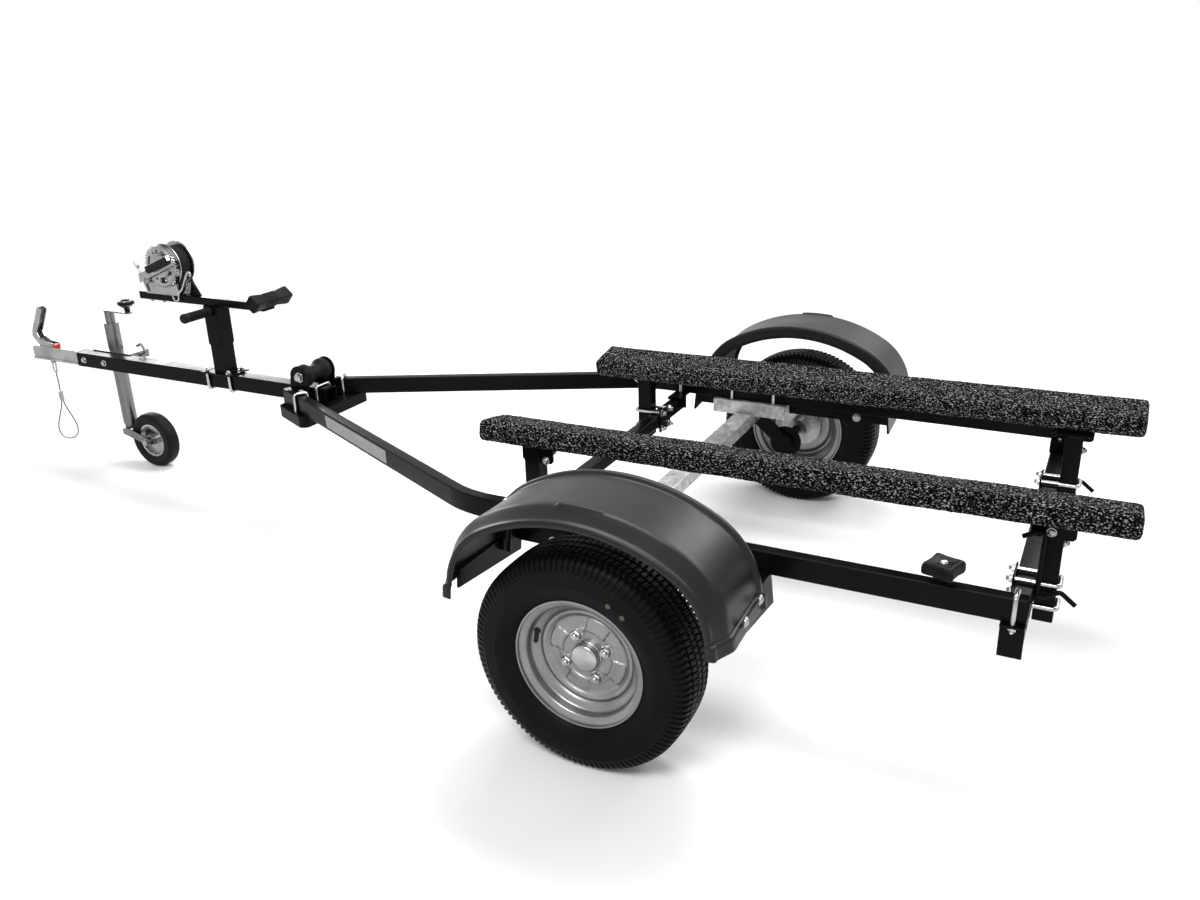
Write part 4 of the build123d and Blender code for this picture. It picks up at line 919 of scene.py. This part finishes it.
rail_knobs().build("rail_knobs", BLACK_PLASTIC, "chassis", crease=50)

# ---- Bolts and nuts --------------------------------------
BRACKET_BOLTS = ((-810, 275, 488), (335, 327, 489))     # middles of the strips under the bunks
BRACKET_BOLT_SPREAD = 31
STAY_BOLTS, STAY_BOLT_Z = (-222, 192), 363
STAY_FACE, STAY_BACK = 538, 532
FOOT_BOLTS = ((655, 396), (738, 392))                   # across and up, on a fender's feet
FOOT_WALL = 3.2
POST_BOLTS = (((-830, 275, 444), BACK), ((377, 314, 474), ALONG))
SIDE_BOLTS = ((-806, 304, 476), (309, 356, 472))        # on the brackets' outer faces
CRADLE_BOLTS, CRADLE_BOLT_Y, CRADLE_WALL = (1332, 1374), 77, 5
PIN_X, PIN_Z, PIN_FACE = 1348, 475, 61
ARM_BOLTS = (1955, 2010)
LEVER_PIVOT = (26, 446)         # behind the coupling lever's front end, and up
COUPLING_BOLTS, COUPLING_FACE, COUPLING_BOLT_Z = (2286, 2389), 25, 410


def side_fasteners():
    """Those that both sides of the frame have."""
    shape = Shape()
    for x, y, z in BRACKET_BOLTS:
        for spread in (-BRACKET_BOLT_SPREAD, BRACKET_BOLT_SPREAD):
            nut_and_tail(shape, (x + spread, y, z), DOWN, tail=3, radius=4)
    for x in STAY_BOLTS:
        dome_on_washer(shape, (x, STAY_FACE, STAY_BOLT_Z), ACROSS, 12, 9.5, 6)
        washer(shape, (x, STAY_BACK, STAY_BOLT_Z), RIGHTWARD, 12)
        nut(shape, (x, STAY_BACK - WASHER_SEAT, STAY_BOLT_Z), RIGHTWARD, 9.5, 6)
    low, high = node_span("fender_left")
    for y, z in FOOT_BOLTS:
        dome_on_washer(shape, (low.x + FOOT_WALL, y, z), BACK, 11, 8, 5)
        dome_on_washer(shape, (high.x - FOOT_WALL, y, z), ALONG, 11, 8, 5)
    for spot, axis in POST_BOLTS:
        nut_and_tail(shape, spot, axis, tail=4)
    for spot in SIDE_BOLTS:
        dome_on_washer(shape, spot, ACROSS, WASHER_RADIUS, 8, 6, lift=0)
    for x in CRADLE_BOLTS:
        dome(shape, (x, CRADLE_BOLT_Y, RAIL_TOP + CRADLE_WALL), UP, 8, 5)
    dome(shape, (KNOB_X, RAIL_Y, KNOB_TOP), UP, 9, 6)
    shape.twin()
    return shape


def middle_fasteners():
    """Ends of the keel roller's pin, and bolts of the winch arm and the coupling."""
    shape = Shape()
    for y, axis, height, bore in ((PIN_FACE, ACROSS, 8.5, 5), (-PIN_FACE, RIGHTWARD, 8, 8.2)):
        end = Vector((PIN_X, y, PIN_Z))
        washer(shape, end, axis, 16, 2)
        nut(shape, end + axis * 2, axis, 13, height, bore)
    dome(shape, (PIN_X, PIN_FACE + 9, PIN_Z), ACROSS, 8.6, 2.5)
    for x in ARM_BOLTS:
        nut_and_tail(shape, (x, 0, node_span("winch_arm")[0].z), DOWN, tail=4)
    lever = node_span("coupling_lever")[1]
    for side, _ in SIDES:
        dome(shape, (lever.x - LEVER_PIVOT[0], side * lever.y, LEVER_PIVOT[1]), ACROSS * side, 5, 3)
    for x in COUPLING_BOLTS:
        washer(shape, (x, COUPLING_FACE, COUPLING_BOLT_Z), ACROSS, 11, 1.2)
    return shape


side_fasteners().build("frame_bolts", ZINC, "chassis", crease=40)
middle_fasteners().build("pin_and_arm_bolts", BRIGHT, "chassis", crease=40)

# ---- Blank plate on the left rail ------------------------
PLATE_ENDS = (786, 1133)        # along X
PLATE_HEIGHT = (393, 429)
PLATE_CORNER = 5
PLATE_LEAN = 9                  # its front end slants
PLATE_FACES = (0.15, 1.05)      # off the rail


def rail_plate():
    along = Vector((math.cos(SPLAY), -math.sin(SPLAY), 0))
    out = Vector((math.sin(SPLAY), math.cos(SPLAY), 0))
    bend = Vector((RAIL_BEND_X, RAIL_Y, 0)) + out * RAIL_WIDTH / 2
    start, end = ((x - bend.x) / along.x for x in PLATE_ENDS)
    low, high = PLATE_HEIGHT
    ring = [Vector((u, 0, v)) for u, v in ((start, low), (end - PLATE_LEAN, low), (end, high),
                                           (start, high))]
    outline = rounded(ring[-1:] + ring + ring[:1], PLATE_CORNER)[1:-1]
    shape = Shape()
    shape.plate([[(p.x, p.z) for p in outline]],
                lambda u, v, face: bend + along * u + out * PLATE_FACES[face] + UP * v)
    return shape


rail_plate().build("blank_plate", SILVER, "chassis", crease=40)

# ---- Coupling --------------------------------------------
BUTTON = ((2547, -8, 435), (2566, 15, 447))
button = Shape()
button.block(*BUTTON)
button.build("coupling_button", RED, "chassis", rounding=3)

# ---- Jockey wheel ----------------------------------------
SCALLOPS, SCALLOP_DEPTH = 8, 0.9
SCALLOP_REACH = (20, 26)        # radii between which the scallops fade in
JOCKEY_KNOB_SET = (26, -46)     # from the jockey tube's rear and from its top
JOCKEY_KNOB = [(9.6, 0.2), (9.6, 14), (11, 19), (15, 24), (23, 27), (27, 28.6), (27.8, 31),
               (27.4, 34.4), (25, 38.4), (20, 42), (13, 45), (0.01, 46.8)]
JOCKEY_NUT = (11, 8, 5.6)       # radius, height, bore


def scalloped(radius, angle):
    start, full = SCALLOP_REACH
    fade = smooth_step((radius - start) / (full - start))
    return radius + SCALLOP_DEPTH * math.cos(SCALLOPS * angle) * fade


def jockey_knob():
    """Scalloped cap over the jockey wheel's crank."""
    low, high = node_span("jockey_tube")
    foot = Vector((low.x + JOCKEY_KNOB_SET[0], (low.y + high.y) / 2, high.z + JOCKEY_KNOB_SET[1]))
    return skin(knob_rings(foot, JOCKEY_KNOB, scalloped, 96), loop_columns=True)


def jockey_nuts():
    shape = Shape()
    axle = middle_of("jockey_rim")
    fork_low, fork_high = node_span("jockey_fork")
    for y, axis in ((fork_high.y, ACROSS), (fork_low.y, RIGHTWARD)):
        seat = Vector((axle.x, y, axle.z))
        washer(shape, seat, axis, 13)
        nut(shape, seat + axis * WASHER_SEAT, axis, *JOCKEY_NUT)
    return shape


jockey_knob().build("jockey_knob", BLACK_PLASTIC, "jockey_tube", crease=50)
jockey_nuts().build("jockey_axle_nuts", ZINC, "jockey_fork", crease=40)

# ---- Bow block -------------------------------------------
BLOCK_CORNER = 6
BLOCK_WAIST = 0.8               # of the ends' size
BLOCK_TURN = math.radians(5)
BLOCK_RIBS = (-18, -6, 6, 18)
# one rib: offset along the block, height
BLOCK_RIB = ((-4, 0), (-3, 2), (3, 2), (4, 0))


def bow_block():
    """Rubber block on its edge: dished ends, a slimmer ribbed middle."""
    low, high = node_span("bow_block")
    middle = (low + high) / 2
    end, size = high.y, (high.x - low.x) / 2
    waist = size * BLOCK_WAIST
    half_block = [(end - 6, 0.01), (end - 6, size * 0.68), (end - 5, size * 0.74),
                  (end, size * 0.8), (end, size * 0.96), (end - 1.5, size), (end - 12, size),
                  (end / 3 + 6, waist + 1)]
    stations = [(-y, half) for y, half in half_block]
    stations += [(y + shift, waist + lift) for y in BLOCK_RIBS for shift, lift in BLOCK_RIB]
    rows = []
    for y, half in stations + half_block[::-1]:
        bend = BLOCK_CORNER * half / size
        row = []
        for quarter in range(4):
            corner = quarter * QUARTER - BLOCK_TURN
            x, z = polar(half - bend * math.sqrt(2), corner)
            for k in range(5):
                along, up = polar(bend, corner + (k / 4 - 0.5) * QUARTER)
                row.append(Vector((middle.x + x + along, y, middle.z + z + up)))
        rows.append(row)
    return skin(rows, loop_columns=True)


bow_block().build("ribbed_bow_block", BLACK_RUBBER, "chassis", ["bow_block"], crease=40)

# ---- Grip on the winch post ------------------------------
GRIP_RIBS = 8


def post_grip():
    low, high = node_span("post_grip")
    radius = (high.x - low.x) / 2
    start, end = low.y, high.y
    pitch = (end - start - 30) / GRIP_RIBS
    profile = [(radius - 3, start), (radius - 0.3, start + 1.5), (radius, start + 8),
               (radius - 1, start + 10)]
    profile += ribs(start + 12, pitch, GRIP_RIBS, ((radius - 4, 0), (radius - 4, 0.28),
                                                   (radius - 0.8, 0.42), (radius - 0.8, 0.86)))
    profile += [(radius - 1.6, end - 17), (radius, end - 13), (radius, end - 7),
                (radius - 2, end - 2.5), (radius - 6, end)]
    shape = Shape()
    shape.lathe(profile, ((low.x + high.x) / 2, 0, (low.z + high.z) / 2), ACROSS, 40)
    return shape


post_grip().build("ribbed_grip", BLACK_RUBBER, "chassis", ["post_grip"], crease=60)

# ---- Winch -----------------------------------------------
GEAR_TEETH = 44
GEAR_RADIUS = 66
GEAR_MODULE = 2 * GEAR_RADIUS / GEAR_TEETH
GEAR_FACES = (41, 48)
TOOTH = ((-0.28, -1.25), (-0.11, 0.85), (0.11, 0.85), (0.28, -1.25))    # in pitches, in modules
SLOT_RADII = (35, 54)
SLOT_TURN = math.radians(64)
HOLE_RADIUS, HOLE_CIRCLE = 4.5, 46
FLANGE_Y, FLANGE_WALL = 28, 3
DRUM_CORE, SHAFT_RADIUS = 22, 8
PINION_OFFSET = Vector((74, 0, -39.75))         # from the drum's axis
CRANK_LENGTH, CRANK_RISE, GRIP_LIFT = 140, 56, 13
HANDLE_Y, HANDLE_LENGTH, HANDLE_RADIUS, HANDLE_RIBS = 71, 104, 10.4, 8
STRIP_WIDTH, STRIP_TAB = 14, 16
RATCHET = [(2013, 787), (1991, 746), (1987, 727), (1975, 690)]
RATCHET_Y = 40
# radius of the ratchet's knob, distance past the lever's end
RATCHET_KNOB = [(3.4, -26), (5.4, -22), (5.8, -4), (4.6, 0), (0, 1.2)]
HOOK = [(1779, 752), (1776, 763), (1786, 767), (1797, 752), (1823, 709), (1846, 690)]
HOOK_Y = 33
RING_CENTRE, RING_RADIUS = (1858, 681), 13
STRAP_END = [(1842, 748), (1836, 728), (1842, 704), (1852, 690), (1862, 690), (1864, 700)]
STRAP_Y, STRAP_HALF = 18, 15
DRUM_AXLE = middle_of("winch_drum")
DRUM_AXLE.y = 0


def arc_slot(middle, low, high, turn, steps=12):
    """Outline of a slot between two radii, with rounded ends."""
    points, half = [], (high - low) / 2
    for radius, way in ((high, 1), (low, -1)):
        points += [polar(radius, middle + way * turn * (k / steps - 0.5))
                   for k in range(steps + 1)]
        end = middle + way * turn / 2
        x, y = polar(low + half, end)
        for k in range(1, 6):
            u, v = polar(half, end + (0 if way > 0 else math.pi) + math.pi * k / 6)
            points.append((x + u, y + v))
    return points


def winch_drum():
    """Toothed gear with its slots, two rolled flanges, core and shaft."""
    low, high = node_span("winch_drum")
    inside, outside = GEAR_FACES
    mesh_angle = math.atan2(PINION_OFFSET.z, PINION_OFFSET.x)
    loops = [[polar(GEAR_RADIUS + height * GEAR_MODULE, mesh_angle + TAU * (k + part) / GEAR_TEETH)
              for k in range(GEAR_TEETH) for part, height in TOOTH]]
    for middle in (0, TAU / 3, TAU * 2 / 3):
        loops.append(arc_slot(middle, *SLOT_RADII, SLOT_TURN))
        loops.append(circle(HOLE_RADIUS, 16, polar(HOLE_CIRCLE, middle + TAU / 6)))
    shape = Shape()
    shape.plate(loops, lambda u, v, face: DRUM_AXLE + Vector((u, GEAR_FACES[face], v)))
    shaft = [(SHAFT_RADIUS, low.y), (SHAFT_RADIUS, inside - 5), (15, inside - 5), (15, inside)]
    collar = [(16, outside), (16, outside + 1), (8.2, outside + 1.4), (8.2, high.y)]
    core = [(DRUM_CORE, FLANGE_WALL - FLANGE_Y), (DRUM_CORE, FLANGE_Y - FLANGE_WALL)]
    for profile in (shaft, collar, core):
        shape.lathe(profile, DRUM_AXLE, ACROSS, 32)
    reach = (high.x - low.x) / 2
    # a flange's section: distance from its rim, and inward from its outer face
    flange = [(reach - 9, 3), (6, 3), (3, 3), (1, 3), (0, 2), (0, 1), (1, 0), (3.4, 0), (5, 0.9),
              (16, 0.9), (18, 0), (reach - 9, 0)]
    for side, _ in SIDES:
        shape.lathe([(reach - rim_gap, side * (FLANGE_Y - inward)) for rim_gap, inward in flange],
                    DRUM_AXLE, ACROSS, 96)
    return shape


def crank_handle():
    """Ribbed sleeve of the folded handle, and the steel strip over it."""
    start = DRUM_AXLE + PINION_OFFSET + Vector((-CRANK_LENGTH, HANDLE_Y, CRANK_RISE + GRIP_LIFT))
    along = Vector((CRANK_LENGTH, 0, -CRANK_RISE)).normalized()
    up = Vector((CRANK_RISE, 0, CRANK_LENGTH)).normalized()
    crest = HANDLE_RADIUS + 0.8
    profile = [(HANDLE_RADIUS - 2, -1.5), (crest, 0)]
    profile += ribs(2, (HANDLE_LENGTH - 6) / HANDLE_RIBS, HANDLE_RIBS,
                    ((crest, 0), (crest, 0.6), (HANDLE_RADIUS, 0.7), (HANDLE_RADIUS, 0.95)))
    profile += [(crest, HANDLE_LENGTH), (HANDLE_RADIUS - 2, HANDLE_LENGTH + 1.5)]
    sleeve = Shape()
    sleeve.lathe(profile, start, along, 28)
    turn = Matrix((along, ACROSS, up)).transposed()
    top = start + along * (HANDLE_LENGTH / 2) + up * (HANDLE_RADIUS + 2.4)
    half_length, half, half_tab = HANDLE_LENGTH / 2 + 4, STRIP_WIDTH / 2, STRIP_TAB / 2
    strip = Shape()
    strip.block((-half_length, -half, -1), (half_length, half, 1), turn, top)
    for end in (-1, 1):
        spot = top + along * end * (half_length - 1) - up * (half_tab - 1)
        strip.block((-1, -half, -half_tab), (1, half, half_tab), turn, spot)
    return sleeve, strip


def winch_small_parts():
    """Ratchet lever beside the gear, and the strap's hook on its ring."""
    shape = Shape()
    lever = [Vector((x, RATCHET_Y, z)) for x, z in RATCHET]
    shape.tube(rounded(lever, 8), 3.2, 16)
    shape.lathe(RATCHET_KNOB, lever[0], lever[0] - lever[1], 20)
    shape.tube(rounded([(x, HOOK_Y, z) for x, z in HOOK], 4.5), 3.6, 16)
    ring = circle(RING_RADIUS, 32, RING_CENTRE)
    shape.tube([(x, HOOK_Y, z) for x, z in ring], 2.8, 12, closed=True)
    return shape


def strap_end():
    """Last stretch of webbing, from the coil to the hook's ring."""
    middle = rounded([(x, STRAP_Y, z) for x, z in STRAP_END], 6)
    rows = []
    for i, point in enumerate(middle):
        before, after = middle[max(i - 1, 0)], middle[min(i + 1, len(middle) - 1)]
        out = (after - before).normalized().cross(ACROSS)
        edge = ACROSS * STRAP_HALF
        rows.append([point + edge + out, point - edge + out, point - edge - out,
                     point + edge - out])
    shape = Shape()
    shape.bar(rows)
    return shape


winch_drum().build("geared_drum", ZINC, "winch_drum", ["winch_drum"], crease=40)
sleeve, strip = crank_handle()
sleeve.build("crank_sleeve", BLACK_PLASTIC, "winch_crank", crease=50)
strip.build("crank_strip", BRIGHT, "winch_crank", rounding=0.6)
winch_small_parts().build("ratchet_and_hook", BRIGHT, "chassis", crease=50)
strap_end().build("strap_end", WEBBING, "chassis", crease=50)

# ---- Painted keyhole shade and paint marks on the left wheel ---
KEYHOLE_ANGLE = math.radians(12.6)
KEYHOLE_RADIUS, KEYHOLE_OUT = 114, 21.5
CONE_SLOPE = (0.93, 0.4)        # radius and distance outboard along the slope it lies on
KEYHOLE_END, KEYHOLE_END_RADIUS = 12, 7.4       # where along the circle its round end lies
# narrow slot: offsets along the circle and up the slope
KEYHOLE_SLOT = [(-15, 4.8), (-18, 3.4), (-19.2, 0), (-18, -3.4), (-15, -4.8)]
MARK_ANGLES = (116.6, 127.4)    # degrees
MARK_CIRCLE, MARK_OUT, MARK_RADIUS = 183, 72.9, 5.5


def painted_keyhole_shade():
    """Near-black sheet over the keyhole in the conical wall outside the disc: painted shade
    standing in for the hole's dark inside.
    """
    round_end = (polar(KEYHOLE_END_RADIUS, math.radians(28 * k - 140)) for k in range(11))
    outline = []
    for along, up in [(KEYHOLE_END + u, v) for u, v in round_end] + KEYHOLE_SLOT:
        outline.append(wheel_spot(KEYHOLE_RADIUS + up * CONE_SLOPE[0],
                                  KEYHOLE_ANGLE + along / KEYHOLE_RADIUS,
                                  KEYHOLE_OUT + up * CONE_SLOPE[1]))
    shape = Shape()
    shape.cap(outline)
    return shape


def paint_marks():
    shape = Shape()
    for degrees in MARK_ANGLES:
        centre = wheel_spot(MARK_CIRCLE, math.radians(degrees), MARK_OUT)
        shape.cap([centre + Vector((u, 0, v)) for u, v in circle(MARK_RADIUS, 20)])
    return shape


# near-black sheet on the left wheel: painted shade of the keyhole
painted_keyhole_shade().build("painted_keyhole_shade", PAINTED_HOLE_SHADE, "wheel_left")
paint_marks().build("paint_marks", YELLOW, "wheel_left")

# ---- Safety wire -----------------------------------------
WIRE_X = 2598
WIRE_RADIUS = 2
LOOP_TURN = math.radians(35)
LEAD_ROUTE = [(0, 334), (0, 316), (-2, 298), (0, 280), (0, 262)]
LOOP_SIDE = [(3.5, 226), (3.5, 211), (24.48, 158.5), (36.72, 112), (21.08, 76)]


def wire(name, route, turn, node):
    """Smooth rope through points in an upright plane under the coupling."""
    data = bpy.data.curves.new(name, "CURVE")
    data.dimensions = "3D"
    data.bevel_depth = WIRE_RADIUS * MM
    data.bevel_resolution = 5
    data.resolution_u = 24
    data.use_fill_caps = True
    spline = data.splines.new("NURBS")
    spline.points.add(len(route) - 1)
    for point, (x, z) in zip(spline.points, route):
        point.co = (*place(WIRE_X + x * math.cos(turn), x * math.sin(turn), z), 1)
    spline.order_u = 3
    spline.use_endpoint_u = True
    data.materials.append(WIRE)
    rope = new_object(name, data)
    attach(rope, "chassis")
    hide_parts(node)
    return rope


lead = wire("safety_lead", LEAD_ROUTE, 0, "safety_wire_lead")
loop = wire("safety_loop", LOOP_SIDE + [(-x, z) for x, z in reversed(LOOP_SIDE)], LOOP_TURN,
            "safety_wire_loop")

# ---- Camera, light and floor -----------------------------
CAMERA_SPOT = place(-867.6, 2334.4, 1386.5)
CAMERA_LOOK = Vector((0.4330, -0.8280, -0.3566))
CAMERA_UP = Vector((0.1384, -0.3298, 0.9339))
FOCAL_PIXELS = 1033.2
FRAME_WIDTH, FRAME_HEIGHT = 1200, 900
CENTRE_PIXEL = (598.25, 444.67)
SENSOR = 36.0
SOFT_LIGHT = 0.55
FLOOR_HALF, FLOOR_DROP = 30.0, 0.0005           # metres
FLOOR_KEEP, FLOOR_FADE = 2.0, 4.2               # metres from the trailer's middle
# position, target, size in metres, power
LAMPS = {
    "key": ((-1.2, 3.6, 4.2), (0, 0, 0.3), (2.6, 1.6), 170),
    "overhead": ((-0.4, -1.4, 4.4), (-0.2, 0, 0.4), (3.6, 1.2), 150),
    "rim": ((-2.6, -3.2, 3.2), (0, 0, 0.4), (3.0, 1.5), 90),
    "far_window": ((4.8, -3.0, 1.7), (1.1, 0, 0.5), (2.2, 0.9), 60),
}


def make_camera():
    data = bpy.data.cameras.new("camera")
    data.sensor_width = SENSOR
    data.lens = FOCAL_PIXELS / FRAME_WIDTH * SENSOR
    data.shift_x = (FRAME_WIDTH / 2 - CENTRE_PIXEL[0]) / FRAME_WIDTH
    data.shift_y = (CENTRE_PIXEL[1] - FRAME_HEIGHT / 2) / FRAME_WIDTH
    camera = new_object("camera", data)
    back = -CAMERA_LOOK.normalized()
    right = CAMERA_UP.cross(back).normalized()
    turn = Matrix((right, back.cross(right), back)).transposed()
    camera.matrix_world = Matrix.Translation(CAMERA_SPOT) @ turn.to_4x4()
    bpy.context.scene.camera = camera


def area_light(name, position, target, size, power):
    data = bpy.data.lights.new(name, "AREA")
    data.shape = "RECTANGLE"
    data.size, data.size_y = size
    data.energy = power
    turn = (Vector(target) - Vector(position)).to_track_quat("-Z", "Y").to_matrix()
    new_object(name, data).matrix_world = Matrix.Translation(position) @ turn.to_4x4()


def pale_surroundings():
    """White to the camera and to reflections; a plain soft level for the light it gives."""
    world = bpy.data.worlds.new("studio")
    bpy.context.scene.world = world
    world.use_nodes = True
    tree = world.node_tree
    soft = tree.nodes["Background"]
    soft.inputs["Color"].default_value = WHITE
    soft.inputs["Strength"].default_value = SOFT_LIGHT
    white = new_node(tree, "ShaderNodeBackground", Color=WHITE, Strength=1.0)
    path = new_node(tree, "ShaderNodeLightPath")
    rays = path.outputs["Is Camera Ray"]
    for kind in ("Is Glossy Ray", "Is Transmission Ray"):
        either = new_node(tree, "ShaderNodeMath")
        either.operation = "MAXIMUM"
        tree.links.new(rays, either.inputs[0])
        tree.links.new(path.outputs[kind], either.inputs[1])
        rays = either.outputs[0]
    tree.links.new(mixed(tree, rays, soft, white), tree.nodes["World Output"].inputs["Surface"])


def floor():
    """Pale sheet that keeps the shadow near the trailer and turns plain white far from it."""
    mesh = bpy.data.meshes.new("floor")
    mesh.from_pydata([(-FLOOR_HALF, -FLOOR_HALF, 0), (FLOOR_HALF, -FLOOR_HALF, 0),
                      (FLOOR_HALF, FLOOR_HALF, 0), (-FLOOR_HALF, FLOOR_HALF, 0)],
                     [], [(0, 1, 2, 3)])
    sheet = new_object("floor", mesh)
    sheet.location.z = -FLOOR_DROP
    f = Finish("floor", grey(0.86), 0.9, Specular_IOR_Level=0.1)
    f.link(f.ramp(f.noise(2, 2), (0.3, grey(0.85)), (0.7, grey(0.87))), "Base Color")
    white = new_node(f.tree, "ShaderNodeEmission", Color=WHITE, Strength=1.0)
    reach = new_node(f.tree, "ShaderNodeVectorMath", Vector=f.coordinates)
    reach.operation = "LENGTH"
    fade = f.span(reach.outputs["Value"], 0, 1, FLOOR_KEEP, FLOOR_FADE)
    f.tree.links.new(mixed(f.tree, fade, f.shader, white),
                     f.tree.nodes["Material Output"].inputs["Surface"])
    mesh.materials.append(f.material)


make_camera()
for name, values in LAMPS.items():
    area_light(name, *values)
pale_surroundings()
floor()
bpy.context.scene.view_settings.view_transform = "Standard"
